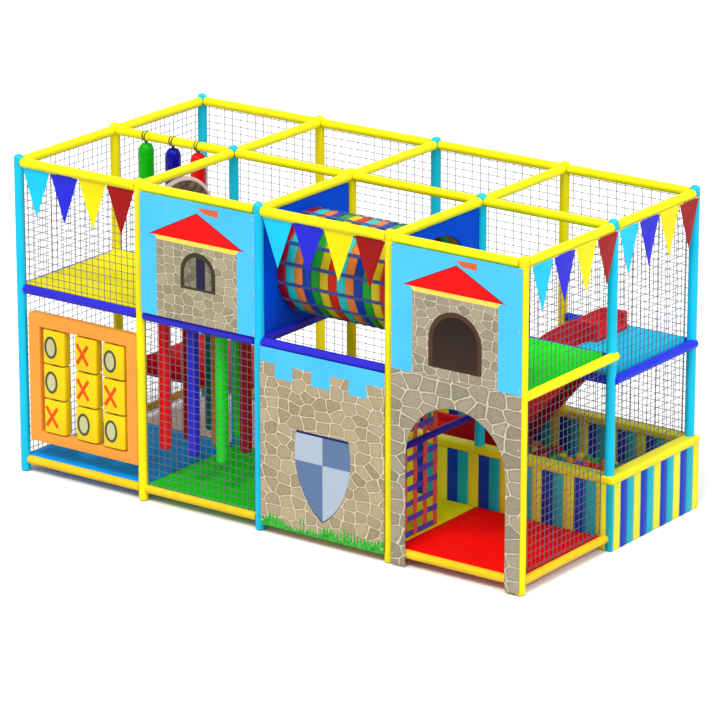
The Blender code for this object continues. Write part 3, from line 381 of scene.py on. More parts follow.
def rounded(distance, roll):
    """Height of a quarter-circle edge: the root of one less the squared way in from the rim."""
    way = 1 - np.clip(distance / roll, 0, 1)
    return np.sqrt(np.clip(1 - way ** 2, 0, 1))


def stuffed(low, high, crown=0.004, roll=0.02, waist=0.003):
    """A pad of two sheets sewn at mid height: over the rim each rises as a quarter circle, and
    the top adds a crown that falls off as one less the square of the place each way. The sides
    pull in between the corners."""
    low, high = np.array(low, float), np.array(high, float)
    x, y = (steps_over(low[i], high[i], roll) for i in (0, 1))
    far_x, far_y = (2 * (x - low[0]) / (high[0] - low[0]) - 1,
                    2 * (y - low[1]) / (high[1] - low[1]) - 1)
    lift = rounded(np.minimum(x - low[0], high[0] - x), roll)[:, None] * \
        rounded(np.minimum(y - low[1], high[1] - y), roll)
    bulge = crown * (1 - far_x[:, None] ** 2) * (1 - far_y ** 2)
    middle, half = (low[2] + high[2]) / 2, (high[2] - low[2]) / 2
    flat_x = x[:, None] - waist * far_x[:, None] * (1 - far_y ** 2)
    flat_y = y[None, :] - waist * far_y * (1 - far_x[:, None] ** 2)
    top = np.stack([flat_x, flat_y, middle + lift * (half - crown + bulge)], -1)
    foot = np.stack([flat_x, flat_y, middle - lift * half], -1)
    return np.concatenate([foot, top[:, ::-1]], 1)


def clear_of_posts(rings):
    """Points inside a post are pushed out level to the post's side."""
    radius = POST_RADIUS + 0.0005
    for x in POST_X:
        for y in POST_Y:
            way = rings[..., :2] - (x, y)
            far = np.linalg.norm(way, axis=-1, keepdims=True)
            out = (x, y) + way / np.maximum(far, 1e-6) * radius
            rings[..., :2] = np.where(far < radius, out, rings[..., :2])
    return rings


def notched_pad(name, low, high, finish, node, slot, fill=0.9, **shape):
    """A stuffed pad, sewn shut and notched round the posts at its edges."""
    return piece(name, [carried(clear_of_posts(stuffed(low, high, **shape)))], finish, node,
                 weld=True)


def matt_skin(name, colour, gloss=(0.36, 0.5)):
    """The embossed dull vinyl that is walked on."""
    return soft_skin(name, colour, gloss, 300.0, 0.00015, coat=0.0, mirror=0.02)


deck_yellow = matt_skin("yellow deck vinyl", paint(255, 242, 12))
DECK_LOW, DECK_HIGH, DECK_FRONT, DECK_BACK, DECK_RIGHT, EDGE_Z = (1.500, 1.562, -1.190, 0.022,
                                                                  2.3594, 1.52)
for part, (left, right) in enumerate(((-2.372, -1.148), (-1.144, -0.0378))):
    notched_pad(f"walkway_pad_{part + 1}", (left, DECK_FRONT, DECK_LOW),
                (right, DECK_BACK, DECK_HIGH), deck_yellow, "deck_walkway", "deck_yellow")
notched_pad("green_pad", (1.256, DECK_FRONT, DECK_LOW), (DECK_RIGHT, DECK_BACK, DECK_HIGH),
            matt_skin("green deck vinyl", paint(14, 238, 20)), "deck_green", "deck_green")
notched_pad("slide_deck_pad", (1.769, 0.0, 1.335), (DECK_RIGHT, 1.164, 1.394),
            matt_skin("light blue deck vinyl", paint(24, 200, 245)), "deck_slide",
            "deck_light_blue")
for bay, node in ((0, "deck_walkway"), (1, "deck_walkway"), (3, "deck_green")):
    for row in (0, 1):
        rail(f"deck_edge_{ROW_NAMES[row]}_{bay + 1}", post(bay, row, EDGE_Z),
             post(bay + 1, row, EDGE_Z), RAIL_RADIUS, deck_blue, node)
rail("deck_edge_left", post(0, 0, EDGE_Z), post(0, 1, EDGE_Z), RAIL_RADIUS, deck_blue,
     "deck_walkway")
for row in (1, 2):
    rail(f"low_deck_edge_{ROW_NAMES[row]}", post(3, row, LOW_DECK_Z), post(4, row, LOW_DECK_Z),
         RAIL_RADIUS, low_blue, "deck_slide")

# Floor mats
# Four foam mats in vinyl, one to a front bay, held level with their yellow base rails.
mat_finish = {}
mat_paints = {"blue": paint(2, 158, 255), "green": paint(6, 212, 4),
              "yellow": paint(225, 212, 10), "red": paint(255, 6, 4)}
MAT_SPANS = {"blue": (-2.372, -1.1463), "green": (-1.1457, -0.0003),
             "yellow": (0.0003, 1.2177), "red": (1.2183, 2.3697)}
for bay, (colour, (left, right)) in enumerate(MAT_SPANS.items()):
    rows, back, top = ((0, 1), DECK_BACK, 0.140) if bay < 2 else ((0,), -0.0453, 0.125)
    mat_finish[colour] = matt_skin(f"{colour} mat vinyl", mat_paints[colour], (0.36, 0.52))
    slot = "red_vinyl" if colour == "red" else f"mat_{colour}"
    notched_pad(f"{colour}_mat_pad", (left, DECK_FRONT, 0.078), (right, back, top),
                mat_finish[colour], f"mat_{colour}", slot, 0.85)
    for row in rows:
        rail(f"base_rail_{ROW_NAMES[row]}_{bay + 1}", post(bay, row, BASE_Z),
             post(bay + 1, row, BASE_Z), BASE_RADIUS, base_yellow, f"mat_{colour}")

# Printed panels
# Twelve-millimetre boards with a full-face print under a clear film, screwed to the posts: a
# tower, a castle wall with a shield, and a gate tower with an arch cut right through.


def plane_of(tree, place):
    """The across and up places of a print that faces the front."""
    parts = wire(tree, "SeparateXYZ", {0: place})
    return parts.outputs[0], parts.outputs[2]


def inside(tree, plane, corners):
    """One inside a shape with corners listed anticlockwise: the least of the tests for being left
    of each side, where the cross product of the side and the way to the point is over zero."""
    share = None
    for (x0, z0), (x1, z1) in zip(corners, corners[1:] + corners[:1]):
        tilt = reckon(tree, "MULTIPLY", plane[0], z0 - z1)
        height = reckon(tree, "MULTIPLY_ADD", plane[1], x1 - x0, tilt)
        test = reckon(tree, "GREATER_THAN", height, (x1 - x0) * z0 - (z1 - z0) * x0)
        share = test if share is None else reckon(tree, "MINIMUM", share, test)
    return share


def box_spot(tree, plane, left, right, foot, top):
    """One inside an upright rectangle."""
    return inside(tree, plane, [(left, foot), (right, foot), (right, top), (left, top)])


def oval_spot(tree, plane, centre, width, height):
    """One inside an oval: the squares of the ways from its centre over its half sizes, added."""
    across_way = reckon(tree, "MULTIPLY_ADD", plane[0], 1 / width, -centre[0] / width)
    up_way = reckon(tree, "MULTIPLY_ADD", plane[1], 1 / height, -centre[1] / height)
    total = reckon(tree, "MULTIPLY_ADD", up_way, up_way,
                   reckon(tree, "MULTIPLY", across_way, across_way))
    return reckon(tree, "LESS_THAN", total, 1.0)


def arched_spot(tree, plane, left, right, foot, spring):
    """One inside an opening with straight sides and a round head."""
    half = (right - left) / 2
    head = oval_spot(tree, plane, ((left + right) / 2, spring), half, half)
    head = reckon(tree, "MAXIMUM", head, reckon(tree, "LESS_THAN", plane[1], spring))
    return reckon(tree, "MINIMUM", head, box_spot(tree, plane, left, right, foot, spring + half))


def stones(tree, plane, width, height, tint, pale):
    """Printed field stones: cells squeezed to a stone's width and height and stirred by a noise.
    The joint is where the two nearest cell points are about as far, and each cell has its tone."""
    joint = 0.095
    shades = [paint(*(gain * level for level in tint)) for gain in (0.72, 0.88, 1.13)]
    flat = wire(tree, "CombineXYZ", {0: reckon(tree, "DIVIDE", plane[0], width),
                                     1: reckon(tree, "DIVIDE", plane[1], height)}).outputs[0]
    stir = wire(tree, "TexNoise", {"Vector": flat, "Scale": 1.3, "Detail": 2.0}).outputs[1]
    place = wire(tree, "MixRGB", {0: 0.12, 1: flat, 2: stir}, blend_type="LINEAR_LIGHT").outputs[0]
    near, second = (wire(tree, "TexVoronoi", {"Vector": place, "Scale": 1.0, "Randomness": 0.62},
                         voronoi_dimensions="2D", feature=feature) for feature in ("F1", "F2"))
    gap = reckon(tree, "SUBTRACT", second.outputs["Distance"], near.outputs["Distance"])
    tone = wire(tree, "SeparateColor", {0: near.outputs["Color"]}).outputs[0]
    stone = layer(tree, tone, shades[1], shades[2])
    mottle = between(tree, wire(tree, "TexNoise", {"Vector": place, "Scale": 5.0, "Detail": 5.0})
                     .outputs[0], 0.3, 0.7, 0.0, 0.45)
    stone = layer(tree, mottle, stone, paint(*(0.5 * (a + b) for a, b in zip(tint, pale))))
    rim = between(tree, gap, joint, joint + 0.20, 0.42, 0.0)
    stone = layer(tree, rim, stone, shades[0])
    mortar = layer(tree, between(tree, cloud(tree, place, 7.0), 0.35, 0.65),
                   paint(*(0.94 * level for level in pale)),
                   paint(*(1.04 * level for level in pale)))
    return layer(tree, between(tree, gap, joint * 0.45, joint), mortar, stone)


def print_finish(name, draw):
    """A printed board: the drawing's colours under a clear film with a faint orange peel."""
    finish, tree, shader, place = bare_finish(name)
    shine = between(tree, cloud(tree, place, 9.0, 5.0), 0.3, 0.7, 0.30, 0.44)
    plug(shader, {"Base Color": draw(tree, plane_of(tree, place), place), "Roughness": shine,
                  "Normal": relief(tree, cloud(tree, place, 160.0), 0.00012),
                  "Specular IOR Level": 0.12})
    return finish


def sky(tree, place):
    """Sky blue with faint uneven ink."""
    return layer(tree, between(tree, cloud(tree, place, 3.0), 0.3, 0.7), paint(72, 192, 248),
                 paint(82, 200, 252))


def roofed_tower(tree, plane, under, sides, stone, roof, flag):
    """A stone tower with a yellow eaves strip, a red roof with a dark outline, and a small
    pennant over it."""
    left, right, foot, top = sides
    picture = layer(tree, box_spot(tree, plane, left, right, foot, top), under, stone)
    strip = [(left + 0.010, top - 0.008), (right - 0.010, top - 0.008),
             (right + 0.016, top + 0.030), (left - 0.016, top + 0.030)]
    tiles = [(roof[0][0] + 0.014, roof[0][1]), (roof[1][0] - 0.014, roof[1][1]),
             (roof[2][0], roof[2][1] - 0.007)]
    for corners, ink in ((strip, (250, 222, 90)), (roof, (128, 22, 46)), (tiles, (250, 8, 8)),
                         (flag, (216, 106, 62))):
        picture = layer(tree, inside(tree, plane, corners), picture, paint(*ink))
    return picture


def draw_tower(tree, plane, place):
    """The tower panel's print."""
    picture = roofed_tower(tree, plane, sky(tree, place), (-0.944, -0.168, 1.50, 2.185),
                           stones(tree, plane, 0.094, 0.074, (152, 142, 116), (214, 204, 176)),
                           [(-1.012, 2.212), (-0.096, 2.212), (-0.548, 2.444)],
                           [(-0.486, 2.448), (-0.346, 2.436), (-0.342, 2.496), (-0.540, 2.490)])
    frame_part = arched_spot(tree, plane, -0.712, -0.376, 1.828, 1.962)
    glass = arched_spot(tree, plane, -0.674, -0.414, 1.848, 1.962)
    picture = layer(tree, frame_part, picture, paint(62, 54, 36))
    pane = layer(tree, between(tree, cloud(tree, place, 26.0, 4.0), 0.35, 0.65),
                 paint(140, 134, 108), paint(96, 92, 74))
    picture = layer(tree, glass, picture, pane)
    bar = reckon(tree, "MINIMUM", glass, box_spot(tree, plane, -0.560, -0.474, 1.84, 2.11))
    return layer(tree, bar, picture, paint(34, 26, 62))


def draw_gate(tree, plane, place):
    """The gate panel's print."""
    rock = stones(tree, plane, 0.155, 0.112, (148, 138, 116), (212, 202, 180))
    small = stones(tree, plane, 0.100, 0.072, (152, 142, 118), (214, 204, 180))
    under = layer(tree, box_spot(tree, plane, 1.0, 3.0, -1.0, 1.562), sky(tree, place), rock)
    picture = roofed_tower(tree, plane, under, (1.452, 2.218, 1.562, 2.200), small,
                           [(1.367, 2.228), (2.284, 2.230), (1.847, 2.454)],
                           [(1.905, 2.446), (2.028, 2.443), (2.028, 2.496), (1.834, 2.494)])
    picture = layer(tree, arched_spot(tree, plane, 1.600, 2.076, 1.640, 1.852), picture,
                    paint(78, 52, 40))
    room = layer(tree, between(tree, plane[1], 1.65, 2.05), paint(58, 38, 30), paint(30, 22, 20))
    return layer(tree, arched_spot(tree, plane, 1.638, 2.038, 1.640, 1.852), picture, room)


def draw_wall(tree, plane, place):
    """The wall panel's print, with grass along its foot and a quartered shield on the stones."""
    rock = stones(tree, plane, 0.120, 0.094, (164, 148, 116), (222, 208, 176))
    picture = layer(tree, box_spot(tree, plane, 0.0, 1.3, -1.0, 1.272), sky(tree, place), rock)
    for left, right in ((0.0, 0.184), (0.350, 0.532), (0.704, 0.876), (1.038, 1.3)):
        picture = layer(tree, box_spot(tree, plane, left, right, 1.2, 1.386), picture, rock)
    spike = reckon(tree, "PINGPONG", reckon(tree, "ADD", plane[0], reckon(
        tree, "MULTIPLY", cloud(tree, place, 40.0), 0.03)), 0.016)
    growth = between(tree, wire(tree, "TexNoise", {"Vector": place, "Scale": 5.5, "Detail": 1.0})
                     .outputs[0], 0.35, 0.65, 0.035, 0.135)
    blade = reckon(tree, "MULTIPLY", growth, between(tree, spike, 0.0, 0.016, 0.45, 1.0))
    grass = reckon(tree, "LESS_THAN", reckon(tree, "SUBTRACT", plane[1], 0.069), blade)
    green = layer(tree, between(tree, cloud(tree, place, 60.0), 0.4, 0.6), paint(28, 150, 48),
                  paint(70, 190, 60))
    picture = layer(tree, grass, picture, green)
    for inset, (first, second) in ((0.0, (paint(30, 34, 92),) * 2),
                                   (0.020, (paint(176, 190, 206), paint(96, 120, 158)))):
        left = oval_spot(tree, plane, (0.43 + inset, 0.74), 0.46 - inset, 0.60 - inset)
        right = oval_spot(tree, plane, (0.83 - inset, 0.74), 0.46 - inset, 0.60 - inset)
        body = reckon(tree, "MINIMUM", reckon(tree, "MINIMUM", left, right),
                      box_spot(tree, plane, 0.3, 1.0, 0.0, 0.90 - inset))
        side = reckon(tree, "MULTIPLY", reckon(tree, "SUBTRACT", plane[0], 0.63),
                      reckon(tree, "SUBTRACT", plane[1], 0.66))
        field = layer(tree, reckon(tree, "GREATER_THAN", side, 0.0), first, second)
        picture = layer(tree, body, picture, field)
    return picture


for node, draw in (("tower_panel", draw_tower), ("wall_panel", draw_wall),
                   ("gate_panel", draw_gate)):
    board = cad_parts[node]
    board.data.materials.clear()
    board.data.materials.append(print_finish(node.replace("_", " ") + " print", draw))


def slab(low, high):
    """A board: one rectangle carried through its thickness, smaller by the softened edge at each
    face."""
    soften, (x0, y0, z0), (x1, y1, z1) = 0.0012, low, high
    rows = np.array([(y0, soften), (y0 + soften, 0), (y1 - soften, 0), (y1, soften)])
    ring = np.array([(x0, z0), (x1, z0), (x1, z1), (x0, z1)])
    inward = np.array([(1, 1), (-1, 1), (-1, -1), (1, -1)])
    spots = ring + rows[:, 1][:, None, None] * inward
    return np.stack([spots[..., 0], 0 * spots[..., 0] + rows[:, :1], spots[..., 1]], -1)


def screws(name, spots, node):
    """Round-headed screws on washers: a low dome turned about the way that the board faces."""
    size, outward, bend = 0.0065, np.array([0.0, -1.0, 0.0]), quarter(4)
    profile = np.array([(1.5 * size, 0.0), (1.5 * size, 0.0012), (size, 0.0014), *zip(
        0.0008 + (size - 0.0008) * np.cos(bend), 0.0016 + 0.0035 * np.sin(bend))])
    rings = (np.array(spots, float)[:, None, None]
             + profile[:, 0][:, None, None] * hoop(*across(outward), 12)
             + profile[:, 1][:, None, None] * outward)
    return piece(name, [carried(rings)], screw_finish, node)


def bare_metal(name, colour, grain, gloss):
    """Plain polished metal with a gloss that changes by the grain."""
    finish, tree, shader, place = bare_finish(name)
    plug(shader, {"Base Color": colour, "Metallic": 1.0, "Roughness": between(
        tree, cloud(tree, place, grain), 0.3, 0.7, *gloss)})
    return finish


screw_finish = bare_metal("zinc screw", paint(176, 178, 182), 240.0, (0.25, 0.45))
BOARD_FACE = -1.2415
wall_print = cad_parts["wall_panel"].data.materials[0]
piece("wall_board", [carried(slab((0.042, BOARD_FACE, 0.069), (1.197, -1.2295, 1.50)))],
      wall_print, "wall_panel")
SCREW_HEIGHTS = {"tower": (1.60, 1.90, 2.20, 2.49), "wall": (0.11, 0.58, 1.04, 1.34),
                 "gate": (0.10, 0.62, 1.14, 1.60, 2.04, 2.49)}
for column, panel, x in ((2, "tower", -1.088), (3, "tower", -0.014), (3, "wall", 0.056),
                         (4, "wall", 1.183), (4, "gate", 1.280), (5, "gate", 2.406)):
    screws(f"{panel}_screws_{column}", [(x, BOARD_FACE, z) for z in SCREW_HEIGHTS[panel]],
           f"frame_{column}")
rail("wall_top_rail", post(2, 0, EDGE_Z), post(3, 0, EDGE_Z), RAIL_RADIUS, deck_blue, "wall_panel")

# Tunnel bulkheads
# Blue padded vinyl walls across the front bay with a round crawl hole, hemmed with a fat roll
# round the hole and hung over a padded rail at the foot.
TUNNEL_Y, TUNNEL_Z, TUNNEL_BORE = -0.578, 2.02, 0.385
WALL_LOW, WALL_HIGH = (-1.1507, 1.553), (-0.0393, 2.512)
bulkhead_blue = soft_skin("bulkhead vinyl", paint(0, 80, 230), (0.34, 0.46), 340.0, 0.00014, 5.0,
                          0.006, coat=0.0, mirror=0.02)


def holed(x, half, centre, inner, outer):
    """A padded wall round a hole: each place lies on a line from the hole to the outline, on one
    face and then back on the other, and its thickness falls in a quarter circle at both ends."""
    share = np.array([0, 0.004, 0.012, 0.03, 0.06, 0.12, 0.3, 0.55, 0.8, 0.93, 0.98, 1.0])
    share = np.concatenate([share, share[::-1][1:-1]])
    face = np.repeat([1.0, -1.0], [12, 10])
    edge = np.minimum(share, 1 - share) * 0.35
    thick = half * np.maximum(rounded(edge, 0.008), 0.25)
    hem = 0.004 * np.exp(-((share - 0.05) / 0.03) ** 2)
    spots = inner + share[:, None, None] * (outer - inner)
    ripple = 0.0025 * (np.sin(spots[..., 0] * 17 + spots[..., 1] * 9)
                       * np.sin(np.pi * share)[:, None])
    away = (face * (thick + hem))[:, None] + ripple
    return np.stack([x + away, centre[0] + spots[..., 0], centre[1] + spots[..., 1]], -1)


def square_outline(angle, centre, low, high):
    """How far a box's outline lies from a centre at each angle: the nearer of its two walls."""
    way = spokes(angle)
    limit = np.where(way > 0, np.array(high) - centre, np.array(low) - centre)
    return way, np.abs(limit / np.where(np.abs(way) < 1e-9, 1e-9, way)).min(-1)[:, None]


corner = [math.atan2(z - TUNNEL_Z, y - TUNNEL_Y) for y in (WALL_LOW[0], WALL_HIGH[0])
          for z in (WALL_LOW[1], WALL_HIGH[1])]
angle = np.sort(np.concatenate([np.linspace(-np.pi, np.pi, 72, endpoint=False), corner]))
way, far = square_outline(angle, np.array([TUNNEL_Y, TUNNEL_Z]), WALL_LOW, WALL_HIGH)
for side, column in (("left", 2), ("right", 3)):
    name = f"tunnel_bulkhead_{side}"
    wall = holed(POST_X[column], 0.009, (TUNNEL_Y, TUNNEL_Z), way * TUNNEL_BORE, way * far)
    piece(f"{name}_wall", [carried(wall, looped=True)], bulkhead_blue, name)
    rail(f"{name}_foot_rail", post(column, 0, EDGE_Z), post(column, 1, EDGE_Z), RAIL_RADIUS,
         deck_blue, name)

# Crawl tunnel
# Fifteen padded rings in bright vinyl, sewn at even spaces on sixteen navy straps that run the
# length of the tunnel and press into each ring.
TUNNEL_START, TUNNEL_END, STRAPS = 0.0103, 1.2077, 16
RING_OUT, RING_HALF_THICK, RING_WIDTH = 0.409, 0.0115, 0.0825
RING_COLOURS = ("maroon turquoise orange navy green yellow red turquoise orange navy green yellow "
                "red turquoise orange").split()
ring_paints = {"maroon": (150, 14, 30), "turquoise": (40, 196, 190), "orange": (232, 128, 48),
               "navy": (10, 60, 160), "green": (24, 150, 40), "yellow": (214, 190, 24),
               "red": (214, 30, 12)}
ring_finish = skin_set(ring_paints, "ring vinyl", (0.28, 0.4), 380.0, 0.00012, 22.0, 0.003)
strap_angle = (np.arange(STRAPS) + 0.5) * 2 * np.pi / STRAPS


def tunnel_ring(x, turn):
    """One padded ring: a fat flattened oval carried round a circle that falls towards the straight
    chord between two straps, and squeezed under each strap by a bell curve."""
    angle, bend, gap = round_turn(120), round_turn(14), np.pi / STRAPS
    way = np.mod(angle - strap_angle[0] + gap, 2 * gap) - gap
    squeeze = 1 - 0.16 * np.exp(-(way / 0.045) ** 2)
    outward = np.sign(np.cos(bend)) * np.abs(np.cos(bend)) ** 0.7 * RING_HALF_THICK
    sideways = np.sign(np.sin(bend)) * np.abs(np.sin(bend)) ** 0.8 * RING_WIDTH / 2
    chord = np.cos(gap) / np.cos(gap - np.abs(way))
    line = (RING_OUT - RING_HALF_THICK) * (1 - 0.75 * (1 - chord))
    radius = line[:, None] + outward * squeeze[:, None]
    wobble = 0.0015 * np.sin(3 * angle + 5 * turn)
    return np.stack([x + sideways * (1.06 - 0.1 * squeeze[:, None]) + wobble[:, None],
                     TUNNEL_Y + radius * np.cos(angle)[:, None],
                     TUNNEL_Z + radius * np.sin(angle)[:, None]], -1)


def webbing(name, colour, rib=0.0032):
    """Woven strap: ribs across and along from the product of two sines on the cloth's own places, with
    painted shade darkening the colour where the weave sinks, and the yarn's tone drifting a little."""
    finish, tree, shader, place = bare_finish(name)
    cloth = wire(tree, "SeparateXYZ", {0: wire(tree, "UVMap", {}, uv_map="cloth").outputs[0]})
    turns = [reckon(tree, "SINE", reckon(tree, "MULTIPLY", cloth.outputs[axis], 2 * np.pi / rib))
             for axis in (0, 1)]
    weave = reckon(tree, "MULTIPLY", *turns)
    drift = between(tree, cloud(tree, place, 60.0), 0.3, 0.7, 0.3, 0.9)
    # painted shade: the colour darkens where the weave sinks, and a random drift of the yarn's tone is
    # added to it
    shade = reckon(tree, "MULTIPLY_ADD", weave, 0.3, drift)
    plug(shader, {"Base Color": layer(tree, shade, toned(colour, 0.72), colour),
                  "Normal": relief(tree, weave, 0.0005), "Roughness": 0.62, "Sheen Weight": 0.25})
    return finish


strap_navy = webbing("navy tunnel webbing", paint(8, 58, 150))
pitch = (TUNNEL_END - TUNNEL_START) / len(RING_COLOURS)
for order, colour in enumerate(RING_COLOURS):
    piece(f"tunnel_ring_{order + 1:02d}",
          [carried(tunnel_ring(TUNNEL_START + (order + 0.5) * pitch, order), looped=True)],
          ring_finish[colour], "crawl_tunnel")
run = np.linspace(TUNNEL_START, TUNNEL_END, 15 * 8 + 1)
dip = 0.0045 * (0.5 + 0.5 * np.cos(2 * np.pi * (run - TUNNEL_START) / pitch))
out = RING_OUT + 0.0012 - dip
flat = np.array([(-0.013, -0.0009), (-0.004, -0.0009), (0.004, -0.0009), (0.013, -0.0009),
                 (0.013, 0.0009), (0.004, 0.0009), (-0.004, 0.0009), (-0.013, 0.0009)])
radial = spokes(strap_angle)[:, None, None]
around = radial[..., ::-1] * (-1, 1)
spots = (out[:, None] + flat[:, 1])[..., None] * radial + flat[:, 0][:, None] * around
piece("tunnel_straps", [carried(at_level(spots + (TUNNEL_Y, TUNNEL_Z), run, 0))], strap_navy,
      "crawl_tunnel")

# Inner arch
# A round-topped padded partition on the walkway, printed as dark rock, with a crawl hole through
# it and a pale pink piping bound round its edge.
ARCH_Y, ARCH_TOP_Z, ARCH_FOOT = -0.6947, 2.05, 1.5503
ARCH_RADIUS, BINDING_RADIUS, CRAWL_RADIUS = 0.448, 0.436, 0.30


def arch_outline(angle):
    """How far the outline lies from the hole's centre at each angle: the round head's circle above
    its centre, and the nearer of the side and the foot below it."""
    way = spokes(angle)
    drop = TUNNEL_Z - ARCH_TOP_Z
    round_far = -way[:, 1] * drop + np.sqrt((way[:, 1] * drop) ** 2 - drop ** 2
                                            + ARCH_RADIUS ** 2)
    side_far = ARCH_RADIUS / np.maximum(np.abs(way[:, 0]), 1e-6)
    foot_far = (TUNNEL_Z - ARCH_FOOT) / np.maximum(-way[:, 1], 1e-6)
    low = np.minimum(side_far, foot_far)
    return way, np.where(TUNNEL_Z + way[:, 1] * round_far > ARCH_TOP_Z, round_far, low)[:, None]


foot_corner = math.atan2(ARCH_FOOT - TUNNEL_Z, ARCH_RADIUS)
angle = np.sort(np.concatenate([np.linspace(-np.pi, np.pi, 96, endpoint=False),
                                [foot_corner, -np.pi - foot_corner]]))
way, far = arch_outline(angle)
rock, tree, shader, place = bare_finish("dark rock vinyl")
split = wire(tree, "SeparateXYZ", {0: place}).outputs
leaning = wire(tree, "CombineXYZ", {
    order: reckon(tree, "MULTIPLY_ADD", split[2], up, reckon(tree, "MULTIPLY", split[1], over))
    for order, (up, over) in enumerate(((5.0, 6.0), (22.0, -9.0)))}).outputs[0]
streak = between(tree, cloud(tree, leaning, 1.0, 5.0, 1.4), 0.38, 0.64)
crack = between(tree, cloud(tree, leaning, 2.6, 6.0, 2.0), 0.50, 0.60)
under = layer(tree, streak, paint(58, 44, 30), paint(142, 116, 78))
plug(shader, {"Base Color": layer(tree, crack, under, paint(40, 30, 24)),
              "Roughness": between(tree, streak, 0.0, 1.0, 0.42, 0.6),
              "Normal": relief(tree, streak, 0.0012), "Specular IOR Level": 0.2})
piece("inner_arch_wall", [carried(holed(POST_X[1], 0.013, (ARCH_Y, TUNNEL_Z), way * CRAWL_RADIUS,
                                        way * far), looped=True)],
      rock, "inner_arch")
turn = np.linspace(0, np.pi, 40)
head = BINDING_RADIUS * spokes(turn) + (0.0, ARCH_TOP_Z)
leg = np.array([(BINDING_RADIUS, 1.575), (BINDING_RADIUS, 1.8)])
line = np.concatenate([leg, head, leg[::-1] * (-1, 1)]) + (ARCH_Y, 0.0)


def piped(line, radius):
    """A round piping in an upright plane: a circle carried along a line of points, square to the
    way between each point's neighbours."""
    along = unit(np.gradient(line, axis=0))
    first = unit(np.cross(along, (1.0, 0.0, 0.0)))
    return line[:, None] + radius * hoop(first, np.cross(along, first), 14)


piece("inner_arch_piping", [carried(piped(np.insert(line, 0, POST_X[1], 1), 0.019))],
      soft_skin("pink piping", paint(236, 212, 214)), "inner_arch")

# Slide
# A one-piece red chute: a bed between two deep cheeks with rolled tops, hooked over the low deck
# and standing on its toe among the balls.
SLIDE_Y, SLIDE_WIDTH, CHEEK, SLIDE_WALL, BED = 0.590, 0.430, 0.030, 0.125, 0.040
SLIDE_HEAD, SLIDE_START, SLIDE_TOE, SLIDE_RUN = 1.894, 1.734, 0.114, 1.480
BED_HIGH, BED_LOW, HOOK_X, HEEL_X, LEG_HIGH, FILLET = 1.4253, 0.300, 1.7687, 0.734, 1.19, 0.03
slide_x = np.concatenate([
    [SLIDE_HEAD, 1.85, 1.80, HOOK_X + 0.0005, HOOK_X - 0.0005],
    np.linspace(SLIDE_START, SLIDE_START - SLIDE_RUN, 45), [0.18, SLIDE_TOE]])
ease = np.clip((SLIDE_START - slide_x) / SLIDE_RUN, 0, 1)
bed_z = BED_HIGH - (BED_HIGH - BED_LOW) * (1 - np.cos(np.pi * ease)) / 2
under = np.where(slide_x > HOOK_X, BED_HIGH - BED, np.clip(
    (slide_x - HEEL_X) / (HOOK_X - HEEL_X) * LEG_HIGH, 0.0, LEG_HIGH))
bend = np.linspace(0, np.pi, 7)
cheek_top = np.stack([CHEEK / 2 - CHEEK / 2 * np.cos(bend),
                      SLIDE_WALL - CHEEK / 2 + CHEEK / 2 * np.sin(bend)], -1)
fillet = quarter(5)
corner = np.stack([CHEEK + FILLET * (1 - np.cos(fillet)), FILLET * (1 - np.sin(fillet))], -1)
half = np.concatenate([cheek_top, corner])
upper = np.concatenate([half, np.stack([SLIDE_WIDTH - half[::-1, 0], half[::-1, 1]], -1)])
step = np.clip(ease / 0.16, 0, 1)
fall = 0.042 * step ** 2 * (3 - 2 * step)
lifted = upper[:, 1] > 0.06
upper = np.stack([np.broadcast_to(upper[:, 0], (len(slide_x), len(upper))),
                  upper[:, 1] + bed_z[:, None] - fall[:, None] * lifted], -1)
lower = np.array([(SLIDE_WIDTH, 0, 1), (SLIDE_WIDTH - CHEEK, 0, 1), (SLIDE_WIDTH - CHEEK, 1, 0),
                  (CHEEK, 1, 0), (CHEEK, 0, 1), (0, 0, 1)], float)
foot = np.stack([np.broadcast_to(lower[:, 0], (len(slide_x), 6)),
                 lower[:, 1] * (bed_z - BED)[:, None] + lower[:, 2] * np.minimum(
                     under, bed_z - BED)[:, None]], -1)
ring = np.concatenate([upper, foot], 1)
slide_red = soft_skin("red slide skin", paint(216, 22, 34), (0.18, 0.30), 60.0, 0.00008, 4.0,
                      0.0015, 0.12, 0.25)
piece("slide_chute", [carried(at_level(ring + (SLIDE_Y, 0.0), slide_x, 0))], slide_red, "slide",
      crease=50.0)

# Ball pit wall
# Foam walls in a cover sewn from upright strips of yellow, blue and turquoise vinyl, each strip
# a little puffed between its seams, under a square yellow coping.
PIT_LOW, PIT_HIGH = (-0.055, -0.045), (2.464, 1.202)
PIT_IN_LOW, PIT_IN_HIGH, COPING_FOOT, COPING_TOP = (0.055, 0.055), (2.354, 1.092), 0.535, 0.600
strip_finish = skin_set({"yellow": (246, 240, 55), "blue": (20, 62, 190),
                         "turquoise": (28, 184, 204)}, "strip vinyl", (0.3, 0.44), 340.0)


def strip_block(outer, inner, out, back, axis):
    """One sewn strip of the wall: its outer and inner faces span their own seams, so that corners
    are mitred; both faces swell by a sine over their width, carried up with the ends rolled in."""
    share = np.linspace(0, 1, 7)
    puff = 0.0075 * np.sign(back - out)
    sunk = puff - puff * np.sin(np.pi * share) ** 0.5
    plan = np.concatenate([
        np.stack([outer[0] + (outer[1] - outer[0]) * share, out + sunk], -1),
        np.stack([inner[1] + (inner[0] - inner[1]) * share, back - sunk], -1)])
    height = np.array([0.001, 0.005, 0.015, 0.1, 0.2, 0.3, 0.4, 0.53, 0.545])
    inset = np.array([0.008, 0.003, 0.0, 0.0, -0.001, -0.001, 0.0, 0.0, 0.003])
    push = np.stack([0 * plan[:, 0], np.sign(plan[:, 1] - (out + back) / 2)], -1)
    spots = plan - inset[:, None, None] * push
    return at_level(spots if axis == 0 else spots[..., ::-1], height)


